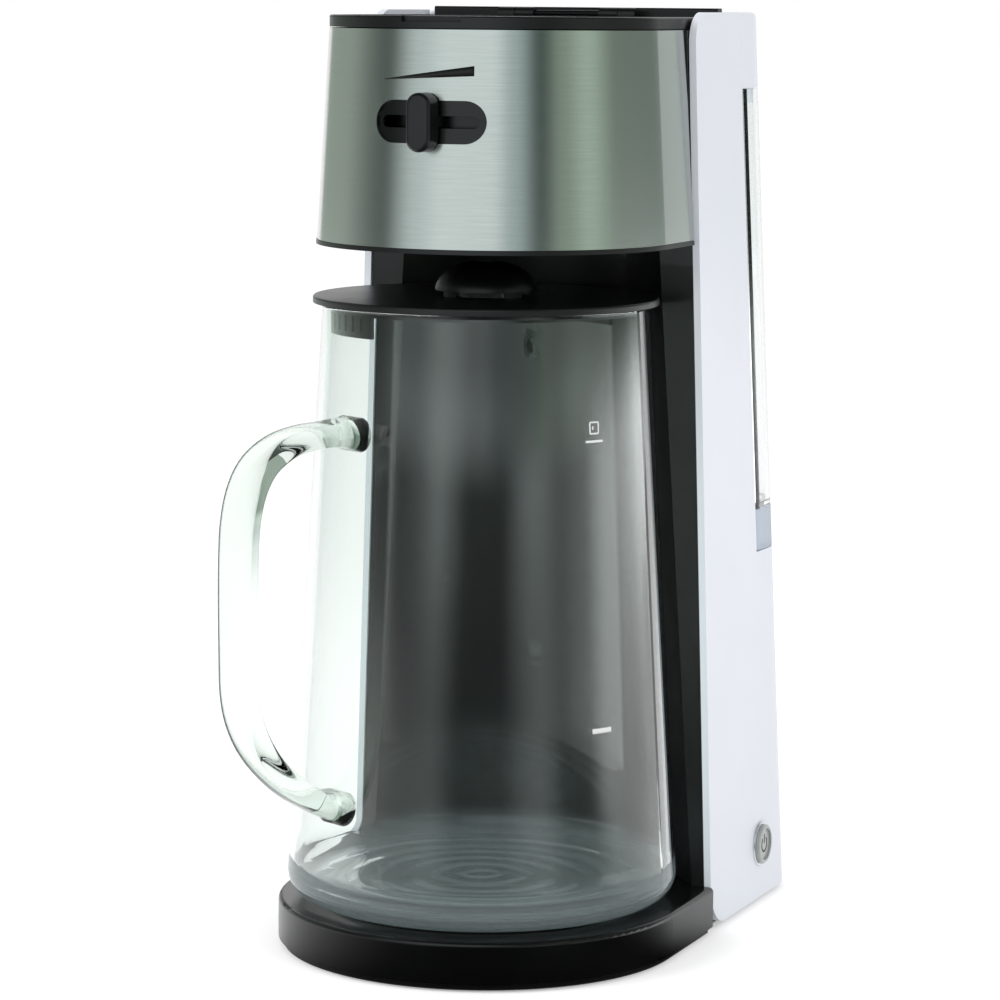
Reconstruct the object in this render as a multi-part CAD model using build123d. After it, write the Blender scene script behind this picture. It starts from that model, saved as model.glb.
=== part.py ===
from build123d import *
import os
from math import asin, cos, degrees, pi, radians, sin

# Iced coffee maker with a glass jug, a brushed steel brewing head and a clear water tank.
# All sizes are millimetres. While it is built, the model's axis is the jug's axis, +Z is up
# and the machine's back is towards +Y. The export at the end centres the footprint.

# Clearances
fit_gap = 0.3
running_gap = 0.05
seam_gap = 0.4

# Body of the machine: it leans and flares, so each size is given at the foot and at the top
body_height = 361.0
foot_half_width = 79.1
top_half_width = 68.3
foot_front = 46.5
top_front = 41.0
foot_back = 156.6
top_back = 134.4
back_corner = 28.0
panel_wall = 2.8
panel_bottom = 2.4
panel_foot_radius = 16.0
panel_top_radius = 12.0
panel_split = 44.0
tank_depth = 42.3
shelf_z = 144.5
shelf_thickness = 5.0

# Base
base_proud = 0.5
base_radius = foot_half_width + base_proud
base_centre_y = 0.8
base_skirt_z = 3.3
deck_z = 19.1
deck_wall = 3.0
deck_edge_radius = 1.8
back_floor_z = 12.0
plate_inset = 2.0
plate_bottom = 0.7
plate_thickness = 2.4
moat_outer = 65.4
moat_inner = 59.0
moat_depth = 1.5
plateau_rise = 1.0
foot_radius = 8.0
foot_grip = 1.2
foot_inset = 31.1
foot_spread_x = foot_half_width - foot_inset
foot_front_inset = 36.8
foot_back_inset = 28.6
foot_front_y = base_centre_y - base_radius + foot_front_inset
foot_back_y = foot_back - foot_back_inset
screw_head_radius = 3.2
screw_shank_radius = 1.5
screw_length = 9.0
screw_head_height = 1.8
screw_inset = 22.0
cross_length = 4.0
cross_width = 0.8
cross_depth = 1.0

# Column behind the jug
bay_clearance = 8.0
land_recess = 1.0
duct_margin = 18.3
duct_half_width = top_half_width - duct_margin
duct_foot_front = 90.0
duct_top_front = 79.5
duct_wall = 3.0
hose_window_top = 84.0

# Brewing head: U-shaped in plan, round at the front about an axis that lies behind the jug's
head_y = 10.1
lid_zone = 6.8
band_height = 80.1
band_top = body_height - lid_zone
band_bottom = band_top - band_height
head_rim_height = 1.8
head_bottom = band_bottom - head_rim_height
band_low_radius = top_half_width + 0.8
band_taper = 4.5
band_high_radius = band_low_radius - band_taper
band_wall = 0.8
band_panel_gap = 1.6
band_clearance = 0.1
drum_lip = 0.3
drum_wall = 2.5
drum_floor = 3.0
ledge_drop = 16.6
ledge_z = band_top - ledge_drop
ledge_height = 3.7
outlet_hole_radius = 14.0

# Strength slider in the front of the head
slot_rise = 46.4
slot_z = band_bottom + slot_rise
slot_half_angle = 19.5
slot_height = 15.8
knob_width = 9.7
knob_height = 21.7
knob_reach = 9.5
knob_edge_radius = 1.8
stem_width = 5.0
stem_height = 4.0
stem_side_gap = 1.0
track_margin = 2.5
track_wall = 1.6
slider_half_range = 14.0
shutter_inset = 5.1
shutter_radius = band_high_radius - shutter_inset
shutter_wall = 1.5
shutter_half_angle = 20.0
shutter_height = 12.0

# Lid of the head
lid_gap = 0.4
lid_height = 4.5
lid_overhang = 0.1
insert_margin = 4.6
insert_thickness = 1.0
insert_recess = 0.4
notch_width = 24.0
notch_depth = 3.2
notch_height = 2.2
lid_back = 74.0
lid_edge_radius = 0.8
insert_gap = 0.1
hinge_gap = 6.0
hinge_y = lid_back + hinge_gap
hinge_drop = 1.0
hinge_z = body_height - hinge_drop
pin_radius = 1.25
knuckle_radius = 2.4
knuckle_inner = 14.0
knuckle_length = 8.0
lug_length = 7.0
arm_thickness = 2.6
deck_frame_height = 8.5
deck_frame_drop = 2.5
deck_frame_top = body_height - deck_frame_drop
ridge_inset = 7.3
ridge_half_width = top_half_width - ridge_inset
ridge_depth = 5.0
ridge_rise = 4.0
ridge_round = 1.0

# Shower in the lid
shower_radius = 26.0
shower_height = 3.6
shower_wall = 1.2
shower_hole_radius = 1.1
shower_ring_radii = (9.0, 17.5)
shower_hole_pitch = 9.3
channel_width = 14.0
inlet_radius = 5.0
inlet_inset = 10.5
inlet_y = lid_back - inlet_inset

# Brew basket, permanent filter and drip stop
basket_inset = 9.1
basket_taper = 5.5
basket_rim = 3.5
ledge_width = 1.5
basket_top_radius = band_high_radius - basket_inset
basket_low_radius = basket_top_radius - basket_taper
basket_flange_radius = basket_top_radius + basket_rim
ledge_radius = basket_flange_radius - ledge_width
basket_wall = 2.0
basket_flange = 2.0
basket_rise = 11.7
basket_floor_z = head_bottom + basket_rise
spout_radius = 8.0
spout_bore = 6.0
spout_rise = 4.7
spout_bottom = head_bottom + spout_rise
spout_lip = 1.5
spout_lip_bore = 3.6
plug_height = 2.2
plug_radius = 5.4
stop_stem_radius = 2.6
stop_reach = 2.0
stop_bottom = head_bottom - stop_reach
filter_room = 4.0
filter_top_radius = basket_top_radius - filter_room
filter_low_radius = basket_low_radius - filter_room - 0.5
filter_wall = 1.4
filter_drop = 1.6
filter_height = ledge_z - basket_floor_z - filter_drop
filter_windows = 8
filter_window_angle = 32.0
filter_rim = 6.0
filter_foot = 3.0
mesh_wall = 0.6

# Glass jug
jug_bottom = 20.4
jug_head_room = 22.3
jug_rim = head_bottom - jug_head_room
jug_inset = 3.3
jug_taper = 13.7
jug_low_radius = base_radius - jug_inset
jug_rim_radius = jug_low_radius - jug_taper
glass_wall = 2.6
glass_floor = 7.1
jug_corner = 9.4
jug_inner_corner = 8.0
jug_foot_ring = 24.3
jug_punt_radius = jug_low_radius - jug_foot_ring
jug_punt_depth = 1.2
jug_punt_slope = 4.0
jug_punt_round = 3.0
rim_round = 1.2

# Glass handle, in an upright plane turned from the front towards the left. Its middle line is
# given by its reach beyond the jug's rim and by its share of the jug's height
handle_turn = 27.0
handle_line = ((0.0, 0.796), (26.4, 0.795), (37.9, 0.782), (47.0, 0.747), (52.4, 0.700), (55.1, 0.630),
               (55.1, 0.469), (53.4, 0.403), (48.4, 0.347), (40.1, 0.297), (29.9, 0.252), (19.2, 0.211),
               (11.1, 0.188), (8.0, 0.180))
strap_width = 19.5
strap_thickness = 8.5
joint_width = 24.0
joint_thickness = 13.5
joint_length = 12.0

# Jug lid
lid_disc_overhang = 3.7
lid_disc_radius = jug_rim_radius + lid_disc_overhang
lid_disc_thickness = 2.6
lid_disc_round = 0.9
lid_disc_gap = 0.5
skirt_depth = 3.0
strainer_depth = 11.0
skirt_wall = 1.6
skirt_gap = 0.7
strainer_slots = 7
strainer_pitch = 5.0
strainer_slot_width = 1.6
strainer_slot_height = 6.0
strainer_foot = 2.0
strainer_turns = (165.0, -42.0)
dome_radius = 19.6
dome_height = 11.4
dome_wall = 2.0
dome_top_hole = 5.5
neck_radius = 17.6
neck_height = 2.2
neck_ribs = 4
neck_rib_angle = 26.0
neck_rib_turn = 59.0
neck_rib_height = 1.5
lid_well_radius = 14.0

# Water tank
tank_gap = 0.5
tank_wall = 2.2
tank_front_corner = 5.0
cap_height = 30.0
tank_top = body_height - cap_height
tank_lift = 0.5
foot_band_top = 161.5
foot_band_wall = 2.3
foot_band_floor = 1.6
tank_floor = 2.4
cap_gap = 0.3
cap_wall = 2.2
cap_edge_radius = 2.2
cap_skirt_depth = 6.0
cap_skirt_wall = 1.5
cap_skirt_gap = 0.4

# Valve under the tank and the socket that it stands in
valve_collar_radius = 8.5
valve_collar_reach = 3.0
valve_bore = 3.0
valve_port = 5.0
valve_disc_radius = 6.5
valve_disc_height = 1.6
valve_stem_radius = 1.8
valve_stem_drop = 6.2
socket_pin_gap = 0.6
socket_depth = 3.5
socket_pin_radius = 1.2
seal_radius = 0.7
barb_radius = 3.5
barb_bore = 2.2
barb_length = 9.0

# Power button in the right side panel
button_y = 106.0
button_z = 24.3
button_radius = 8.1
button_reach = 2.5
button_travel = 1.5
button_edge_radius = 1.0
button_rim = 1.6
button_dish = 0.8
bezel_flange_radius = 9.1
bezel_tube_radius = 8.6
bezel_rise = 0.8
bezel_depth = 6.0
button_length = 7.5
button_stem_radius = 3.0
button_stem_length = 7.0
switch_size = 17.0
switch_length = 13.0
pocket_margin = 4.0

# Heater, hoses and electrics inside the back of the base
heater_z = 34.0
heater_wall_gap = 0.5
riser_run = 24.0
feed_run = 14.0
heater_spread = 26.0
heater_bend = 10.0
cradle_half_width = 8.0
cradle_depth = 14.0
element_radius = 5.0
water_tube_radius = 4.5
water_tube_bore = 3.0
hose_radius = 4.0
hose_bore = 2.4
riser_turn_z = 100.0
riser_bends = (8.0, 30.0, 6.0, 4.8)
riser_duct_gap = 5.5
feed_straight = 22.0
feed_rise = 20.0
feed_bends = (9.0, 9.0, 6.0)
feed_top_length = 12.0
hose_window_margin = 8.0
thermostat_radius = 8.0
thermostat_height = 6.0
valve_body_radius = 6.5
valve_body_length = 18.0
board_thickness = 1.6
board_width = 60.0
board_height = 40.0
board_left = -55.0
board_low = 88.0
gland_radius = 5.0
gland_flange_radius = 7.5
gland_length = 6.0
gland_bore = 3.0
gland_x = -33.0
gland_z = 24.0
gland_flange_gap = 0.6


def along(low, high, z):
    """A size that runs evenly from its value at the foot to its value at the top."""
    return low + (high - low) * z / body_height


def half_width(z):
    return along(foot_half_width, top_half_width, z)


def back_y(z):
    return along(foot_back, top_back, z)


def front_y(z):
    return along(foot_front, top_front, z)


def seam_y(z):
    """The line where the side panels end and the tank begins."""
    return back_y(z) - tank_depth


def band_radius(z):
    """Outside of the steel band."""
    share = (z - band_bottom) / (band_top - band_bottom)
    return band_low_radius + (band_high_radius - band_low_radius) * share


def jug_radius(z):
    """Outside of the glass."""
    share = (z - jug_bottom) / (jug_rim - jug_bottom)
    return jug_low_radius + (jug_rim_radius - jug_low_radius) * share


def bay_radius(z):
    """Hollow front of the column, which follows the jug."""
    return jug_radius(z) + bay_clearance


def land_y(z):
    """Front of the column and of the frame over it, just behind the panels' front edge."""
    return front_y(z) + land_recess


def column_back(z):
    return seam_y(z) - fit_gap


def head_plan(z, radius, back):
    """Level outline of the head: half a circle in front, and straight sides back to a line."""
    sides = Polyline((radius, head_y), (radius, back), (-radius, back), (-radius, head_y))
    front = ThreePointArc((-radius, head_y), (0, head_y - radius), (radius, head_y))
    return Pos(0, 0, z) * make_face(sides + front)


def head_solid(z_low, z_high, grow, back):
    """The head's taper between two heights, grown by an amount, back to a line."""
    return between(z_low, z_high, lambda z: head_plan(z, band_radius(z) + grow, back))


def in_front(gap):
    """Everything in front of the panels' leaning front edge, less a gap."""
    wide = 2 * base_radius
    return between(0, body_height, rectangle_at(lambda z: wide, lambda z: -wide, lambda z: front_y(z) - gap))


def turned(points, centre_y=0.0):
    """Solid of revolution about an upright axis, from its outline in radius and height."""
    outline = Polyline(*[(radius, 0, z) for radius, z in points], close=True)
    return Pos(0, centre_y, 0) * revolve(make_face(outline), Axis.Z)


def disc(radius, z_low, z_high, x=0.0, y=0.0):
    standing = (Align.CENTER, Align.CENTER, Align.MIN)
    return Pos(x, y, z_low) * Cylinder(radius, z_high - z_low, align=standing)


def block(x_low, x_high, y_low, y_high, z_low, z_high):
    size = (x_high - x_low, y_high - y_low, z_high - z_low)
    middle = ((x_low + x_high) / 2, (y_low + y_high) / 2, (z_low + z_high) / 2)
    return Pos(*middle) * Box(*size)


def plan(z, inset, front, corner, front_corner=0.0):
    """Level outline of the body, moved in by an inset, from a front line to its rounded back."""
    half = half_width(z) - inset
    back = back_y(z) - inset
    outline = Pos(0, (front + back) / 2) * Rectangle(2 * half, back - front)
    outline = fillet(outline.vertices().sort_by(Axis.Y)[-2:], corner - inset)
    if front_corner:
        outline = fillet(outline.vertices().sort_by(Axis.Y)[:2], front_corner)
    return Pos(0, 0, z) * outline


def between(z_low, z_high, outline_at):
    """Straight walls from the outline at one height to the outline at another."""
    return loft([outline_at(z_low), outline_at(z_high)], ruled=True)


def rectangle_at(half, front, back):
    """Level rectangle whose half width, front and back are given for each height."""

    def outline(z):
        depth = back(z) - front(z)
        middle = (back(z) + front(z)) / 2
        return Pos(0, middle, z) * Rectangle(2 * half(z), depth)

    return outline


def side_view(points, radii):
    """Block of the machine's whole width with a rounded outline in depth and height."""
    outline = make_face(Polyline(*points, close=True))
    for (y, z), radius in zip(points, radii):
        if radius:
            corner = outline.vertices().sort_by_distance((y, z, 0))[0]
            outline = fillet(corner, radius)
    return extrude(Plane.YZ * outline, 2 * foot_half_width, both=True)


def ring_sector(radius, wall, z_low, z_high, half_angle, centre_y=0.0, turn=0.0):
    """Upright plate bent round an axis; it faces the front unless it is turned."""
    ring = disc(radius, z_low, z_high) - disc(radius - wall, z_low, z_high)
    reach = 2 * radius
    left = (-reach * sin(radians(half_angle)), -reach * cos(radians(half_angle)))
    right = (-left[0], left[1])
    middle = (0, 2 * left[1])
    corner = make_face(Polyline((0, 0), left, middle, right, close=True))
    wedge = extrude(Pos(0, 0, z_low) * corner, z_high - z_low)
    return Pos(0, centre_y, 0) * Rot(0, 0, turn) * (ring & wedge)


# White shell: two side panels that wrap the back corners, and a cover between them
def white_shell():
    front_line = 0.0
    low = -panel_wall
    high = body_height + panel_wall
    outside = between(low, high, lambda z: plan(z, 0.0, front_line, back_corner))
    inside = between(low, high, lambda z: plan(z, panel_wall, front_line, back_corner))
    return outside - inside


def panel_outline():
    """Side view of a panel: rounded front corners, and a bay for the tank at the back."""
    behind = foot_back + back_corner
    points = ((front_y(panel_bottom), panel_bottom), (front_y(body_height), body_height),
              (behind, body_height), (behind, panel_bottom))
    panel = side_view(points, (panel_foot_radius, panel_top_radius, 0, 0))
    above = body_height + panel_wall
    bay = ((seam_y(shelf_z), shelf_z), (seam_y(above), above), (behind, above), (behind, shelf_z))
    return panel - side_view(bay, (0, 0, 0, 0))


def button_x():
    return half_width(button_z)


def along_x(radius, x_low, x_high, y, z):
    """Round bar that lies along X."""
    bar = Cylinder(radius, x_high - x_low, align=(Align.CENTER, Align.CENTER, Align.MIN))
    return Pos(x_low, y, z) * Rot(0, 90, 0) * bar


def along_y(radius, y_low, y_high, x, z):
    """Round bar that lies along Y."""
    bar = Cylinder(radius, y_high - y_low, align=(Align.CENTER, Align.CENTER, Align.MIN))
    return Pos(x, y_low, z) * Rot(-90, 0, 0) * bar


def side_panels():
    shell = white_shell() & panel_outline()
    far = 2 * foot_half_width
    right = shell & block(panel_split, far, 0, 2 * foot_back, 0, 2 * body_height)
    left = shell & block(-far, -panel_split, 0, 2 * foot_back, 0, 2 * body_height)
    hole = along_x(bezel_tube_radius + running_gap, button_x() - bezel_depth, far, button_y, button_z)
    spot_face = along_x(bezel_flange_radius + running_gap, button_x(), far, button_y, button_z)
    return {"side_panel_right": right - hole - spot_face, "side_panel_left": left}


def rear_cover():
    half = panel_split - seam_gap
    middle = block(-half, half, foot_front, 2 * foot_back, panel_bottom, shelf_z)
    hole = along_y(gland_radius + running_gap, foot_back / 2, 2 * foot_back, gland_x, gland_z)
    return (white_shell() & middle) - hole


def cord_gland():
    """Bushing in the back cover. Its bore is where a cord comes in."""
    outside = back_y(gland_z)
    inside = outside - panel_wall
    tube = along_y(gland_radius, inside - gland_length, outside + gland_length / 2, gland_x, gland_z)
    proud = outside + gland_length / 2
    flange = along_y(gland_flange_radius, outside + gland_flange_gap, proud, gland_x, gland_z)
    bore = along_y(gland_bore, inside - 2 * gland_length, outside + gland_length, gland_x, gland_z)
    return tube + flange - bore


# Base: a D-shaped deck with the jug's stand, a floor behind it, a closing plate, feet and screws
def base_outline(inset):
    """Plan of the front of the base, back to the panels' front edge."""
    round_front = Pos(0, base_centre_y) * Circle(base_radius - inset)
    back = foot_front - fit_gap
    sides = Pos(0, (base_centre_y + back) / 2) * Rectangle(2 * (base_radius - inset), back - base_centre_y)
    return round_front + sides & Pos(0, back - base_radius) * Rectangle(4 * base_radius, 2 * base_radius)


def inner_half_width(z):
    """Half the room between the side panels, less the clearance."""
    return half_width(z) - panel_wall - fit_gap


def base_housing():
    front = extrude(Pos(0, 0, base_skirt_z) * base_outline(0.0), deck_z - base_skirt_z)
    rim = front.edges().group_by(Axis.Z)[-1].filter_by(lambda edge: edge.center().Y < foot_front - deck_wall)
    front = fillet(rim, deck_edge_radius)
    half = inner_half_width(0.0) - (half_width(0) - half_width(deck_z))
    seat_radius = bay_radius(deck_z) - fit_gap
    stand = disc(seat_radius, base_skirt_z, deck_z)
    stand &= block(-half, half, foot_front - 2 * fit_gap, seat_radius, base_skirt_z, deck_z)
    back = back_y(back_floor_z) - panel_wall - fit_gap
    start = foot_front - 2 * fit_gap
    floor_plan = Pos(0, (start + back) / 2) * Rectangle(2 * half, back - start)
    floor_plan = fillet(floor_plan.vertices().sort_by(Axis.Y)[-2:], back_corner - panel_wall - fit_gap)
    floor = extrude(Pos(0, 0, base_skirt_z) * floor_plan, back_floor_z - base_skirt_z)
    body = front + stand + floor
    plateau = disc(moat_inner, deck_z - deck_wall, deck_z + plateau_rise)
    moat = disc(moat_outer, deck_z - moat_depth, deck_z + plateau_rise) - plateau
    body = body - moat + plateau
    room = extrude(Pos(0, 0, base_skirt_z) * base_outline(deck_wall), deck_z - deck_wall - base_skirt_z)
    room_back = duct_foot_front - 2 * deck_wall
    room += block(-half + deck_wall, half - deck_wall, foot_front - 2 * deck_wall, room_back,
                  base_skirt_z, back_floor_z - deck_wall)
    return body - room - screw_holes(base_skirt_z + screw_length)


def foot_places():
    return [(side * foot_spread_x, y) for side in (-1, 1) for y in (foot_front_y, foot_back_y)]


def screw_places():
    return [(x, y + screw_inset * (1 if y < 0 else -1)) for x, y in foot_places()]


def screw_holes(top):
    holes = [disc(screw_shank_radius + running_gap, plate_bottom, top, x, y) for x, y in screw_places()]
    return Compound(holes)


def base_plate():
    outline = base_outline(plate_inset)
    half = inner_half_width(0.0) - plate_inset
    back = back_y(0) - panel_wall - plate_inset
    rear = Pos(0, (foot_front + back) / 2) * Rectangle(2 * half, back - foot_front + plate_inset)
    rear = fillet(rear.vertices().sort_by(Axis.Y)[-2:], back_corner - panel_wall - plate_inset)
    plate = extrude(Pos(0, 0, plate_bottom) * (outline + rear), plate_thickness)
    for x, y in foot_places():
        plate -= disc(foot_radius + fit_gap, 0, plate_bottom + foot_grip, x, y)
    for x, y in screw_places():
        plate -= disc(screw_head_radius + fit_gap, 0, plate_bottom + screw_head_height, x, y)
        plate -= disc(screw_shank_radius + running_gap, 0, base_skirt_z, x, y)
    return plate


def base_feet():
    feet = {}
    for number, (x, y) in enumerate(foot_places(), 1):
        pad = disc(foot_radius, 0, plate_bottom + foot_grip, x, y)
        feet[f"foot_{number}"] = chamfer(pad.edges().group_by(Axis.Z)[0], plate_bottom / 2)
    return feet


def base_screws():
    screws = {}
    for number, (x, y) in enumerate(screw_places(), 1):
        head_top = plate_bottom + screw_head_height
        head = disc(screw_head_radius, plate_bottom, head_top, x, y)
        long = cross_length / 2
        wide = cross_width / 2
        cross_top = plate_bottom + cross_depth
        cross = block(-long, long, -wide, wide, plate_bottom, cross_top)
        cross += block(-wide, wide, -long, long, plate_bottom, cross_top)
        shank = disc(screw_shank_radius, head_top, base_skirt_z + screw_length - fit_gap, x, y)
        screws[f"base_screw_{number}"] = head + shank - Pos(x, y, 0) * cross
    return screws


# Column: the black housing between the panels, hollowed to follow the jug
def column_pieces():
    """Column in three mouldings: bay wall behind the jug, mount of the head, and duct at the back."""
    top = deck_frame_top - deck_frame_height
    solid = between(back_floor_z, top, rectangle_at(inner_half_width, land_y, column_back))
    bay = turned(((0, 0), (bay_radius(deck_z), 0), (bay_radius(deck_z), deck_z),
                  (bay_radius(head_bottom), head_bottom), (0, head_bottom)))
    gap = drum_lip + fit_gap
    drum_low = head_bottom - fit_gap
    drum_room = turned(((0, drum_low), (band_radius(band_bottom) + gap, drum_low),
                        (band_radius(band_top) + gap, band_top), (0, band_top)), head_y)
    duct_plan = rectangle_at(lambda z: duct_half_width, duct_front, lambda z: column_back(z) - duct_wall)
    duct = between(0, body_height, duct_plan)
    half = heater_spread + hose_window_margin
    hose_window = block(-half, half, duct_foot_front, 2 * foot_back, 0, hose_window_top)
    solid = solid - bay - drum_room - duct - hose_window - switch_pocket() - riser_room()
    ahead = rectangle_at(lambda z: foot_half_width, lambda z: -foot_back, duct_front)
    bay_wall = solid & between(0, head_bottom, ahead)
    mount = solid & between(head_bottom, body_height, ahead)
    return bay_wall, mount, solid - between(0, body_height, ahead)


def duct_front(z):
    """Front wall of the duct behind the bay."""
    return along(duct_foot_front, duct_top_front, z)


def switch_pocket():
    half = switch_size / 2 + pocket_margin
    inner = button_x() - bezel_depth - switch_length - pocket_margin
    return block(inner, 2 * foot_half_width, button_y - half, button_y + half, 0, button_z + half)


# Head: drum, steel band, slider, and the frame behind the lid
def head_drum():
    """Black housing of the head: U-shaped outside, round inside for the brew basket."""
    skin = band_wall + band_clearance
    wall = skin + drum_wall
    floor_top = head_bottom + drum_floor
    seat = band_bottom - band_clearance
    far = 2 * foot_front
    low_radius = band_radius(seat) - skin
    body = turned(((0, head_bottom), (low_radius, head_bottom), (low_radius, seat),
                   (band_radius(band_top) - skin, band_top), (0, band_top)), head_y)
    body += head_solid(seat, band_top, -skin, far) & in_front(fit_gap)
    body += head_solid(head_bottom, seat, drum_lip, far) & in_front(band_panel_gap)
    flange_front = band_panel_gap - fit_gap
    body += between(head_bottom, band_top, rectangle_at(inner_half_width, lambda z: front_y(z) - flange_front,
                                                        lambda z: land_y(z) - fit_gap))
    body -= turned(((0, floor_top), (band_radius(floor_top) - wall, floor_top),
                    (band_radius(ledge_z) - wall, ledge_z - 2 * ledge_height),
                    (ledge_radius, ledge_z - ledge_height / 2), (ledge_radius, ledge_z),
                    (band_radius(ledge_z) - wall, ledge_z), (band_radius(band_top) - wall, band_top),
                    (0, band_top)), head_y)
    body -= disc(outlet_hole_radius, 0, body_height)
    half = band_low_radius * sin(radians(slot_half_angle)) + 2 * track_margin
    tall = slot_height / 2 + track_margin + fit_gap
    window_back = head_y - ledge_radius / 2
    body -= block(-half, half, head_y - band_low_radius, window_back, slot_z - tall, slot_z + tall)
    return body - riser_room()


def stadium_slot(half_angle, height, grow=0.0):
    """Slot with round ends, cut straight through the front of the head."""
    radius = band_radius(slot_z)
    length = 2 * radius * sin(radians(half_angle))
    outline = SlotOverall(length + 2 * grow, height + 2 * grow)
    return extrude(head_front() * outline, 2 * radius)


def head_front():
    """Upright plane through the head's axis at the slider's height; its Z looks to the front."""
    return Plane(origin=(0, head_y, slot_z), x_dir=(1, 0, 0), z_dir=(0, -1, 0))


def steel_band():
    """Steel sheet bent round the head; it ends just before the panels."""
    back = 2 * foot_front
    outside = head_solid(band_bottom, band_top, 0.0, back)
    inside = head_solid(band_bottom, band_top, -band_wall, back)
    band = (outside - inside) & in_front(band_panel_gap)
    return band - stadium_slot(slot_half_angle, slot_height)


def slider_track():
    """Bent plate behind the slot, with a narrow slot for the knob's stem."""
    skin = band_wall + band_clearance
    low = slot_z - slot_height / 2 - track_margin
    high = slot_z + slot_height / 2 + track_margin
    plate = head_solid(low, high, -skin, head_y + track_margin)
    plate -= head_solid(low, high, -skin - track_wall, head_y + track_margin)
    plate &= stadium_slot(slot_half_angle, slot_height, track_margin)
    stem_angle = degrees(asin((stem_width / 2 + stem_side_gap) / band_radius(slot_z)))
    return plate - stadium_slot(slider_half_range + stem_angle, stem_height + 2 * fit_gap)


def slider_knob():
    """Upright knob with a stem that carries the shutter behind the wall."""
    start = band_radius(slot_z - knob_height / 2) + fit_gap
    outline = Rot(0, 0, 90) * SlotOverall(knob_height, knob_width)
    grip = extrude(head_front() * outline, band_radius(slot_z) + knob_reach)
    grip -= extrude(head_front() * Rectangle(2 * knob_height, 2 * knob_height), start)
    grip = fillet(grip.faces().sort_by(Axis.Y)[0].edges(), knob_edge_radius)
    front = head_y - start - knob_edge_radius
    back = head_y - shutter_radius + shutter_wall / 2
    half = stem_height / 2
    return grip + block(-stem_width / 2, stem_width / 2, front, back, slot_z - half, slot_z + half)


def slider_shutter():
    """Bent shutter plate inside the drum, turned by the knob."""
    low = slot_z - shutter_height / 2
    high = slot_z + shutter_height / 2
    plate = ring_sector(shutter_radius, shutter_wall, low, high, shutter_half_angle, head_y)
    stem_room = block(-stem_width / 2, stem_width / 2, -base_radius, head_y, slot_z - stem_height / 2,
                      slot_z + stem_height / 2)
    return plate - stem_room


def rear_deck():
    """Frame round the lid's seat, with the hinge's lugs and a raised edge along the tank."""
    low = deck_frame_top - deck_frame_height
    step = lid_back + fit_gap
    frame = between(low, band_top, rectangle_at(inner_half_width, land_y, column_back))
    frame += between(low, deck_frame_top, rectangle_at(inner_half_width, lambda z: step, column_back))
    frame -= disc(band_radius(low) + drum_lip + fit_gap, 0, body_height, 0, head_y)
    ridge_top = deck_frame_top + ridge_rise
    ridge_back = column_back(ridge_top)
    ridge = block(-ridge_half_width, ridge_half_width, ridge_back - ridge_depth, ridge_back, low, ridge_top)
    ridge = fillet(ridge.edges().filter_by(Axis.X).group_by(Axis.Z)[-1], ridge_round)
    lug_start = knuckle_inner + knuckle_length + fit_gap
    lug_end = lug_start + lug_length
    pocket_back = hinge_y + knuckle_radius + 2 * fit_gap
    pocket_low = hinge_z - knuckle_radius - arm_thickness
    for side in (-1, 1):
        x_low, x_high = sorted((side * (knuckle_inner - fit_gap), side * lug_start))
        frame -= block(x_low, x_high, head_y, pocket_back, pocket_low, body_height)
        x_low, x_high = sorted((side * lug_start, side * lug_end))
        frame += along_x(knuckle_radius, x_low, x_high, hinge_y, hinge_z)
        frame += block(x_low, x_high, hinge_y - knuckle_radius, hinge_y + knuckle_radius, low, hinge_z)
    pin_hole = along_x(pin_radius + running_gap, -2 * lug_end, 2 * lug_end, hinge_y, hinge_z)
    return frame + ridge - pin_hole - riser_room()


def hinge_pin():
    reach = knuckle_inner + knuckle_length + fit_gap + lug_length
    return along_x(pin_radius, -reach, reach, hinge_y, hinge_z)


# Lid of the head, with its silver insert and the shower under it
def lid_bottom():
    return band_top + lid_gap


def lid_frame():
    """Black rim of the lid, with a finger notch at the front and two hinge arms."""
    radius = band_high_radius - lid_overhang
    low = lid_bottom()
    top = low + lid_height
    lid = extrude(head_plan(low, radius, lid_back), lid_height)
    lid = fillet(lid.edges().group_by(Axis.Z)[-1], lid_edge_radius)
    seat = top - insert_recess - insert_thickness
    lid -= extrude(insert_plan(seat, insert_margin - insert_gap), lid_height)
    front = head_y - radius
    half = notch_width / 2
    lid -= block(-half, half, front - notch_depth, front + notch_depth, top - notch_height, 2 * top)
    for side in (-1, 1):
        x_low, x_high = sorted((side * knuckle_inner, side * (knuckle_inner + knuckle_length)))
        lid += block(x_low, x_high, lid_back - insert_margin / 2, hinge_y, top - arm_thickness, top)
        lid += along_x(knuckle_radius, x_low, x_high, hinge_y, hinge_z)
    return lid - along_x(pin_radius + running_gap, -base_radius, base_radius, hinge_y, hinge_z)


def insert_plan(z, inset):
    """Outline of the lid's inner plate."""
    return head_plan(z, band_high_radius - lid_overhang - inset, lid_back - inset)


def lid_insert():
    low = lid_bottom() + lid_height - insert_recess - insert_thickness
    return extrude(insert_plan(low, insert_margin), insert_thickness)


def shower_head():
    """Flat chamber under the lid with a channel to the riser and rings of holes."""
    top = lid_bottom()
    low = top - shower_height
    outside = shower_shape(0.0, low, top)
    room = shower_shape(shower_wall, low + shower_wall, top - shower_wall)
    chamber = outside - room - disc(inlet_radius, low - shower_wall, low + 2 * shower_wall, 0, inlet_y)
    for ring_radius in shower_ring_radii:
        count = round(2 * pi * ring_radius / shower_hole_pitch)
        for place in PolarLocations(ring_radius, count):
            chamber -= place * disc(shower_hole_radius, low - shower_wall, low + 2 * shower_wall)
    return chamber


def shower_shape(inset, low, high):
    """Round chamber with a channel that ends in a round end over the inlet."""
    half = channel_width / 2 - inset
    shape = disc(shower_radius - inset, low, high) + block(-half, half, 0, inlet_y, low, high)
    return shape + disc(half, low, high, 0, inlet_y)


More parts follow.
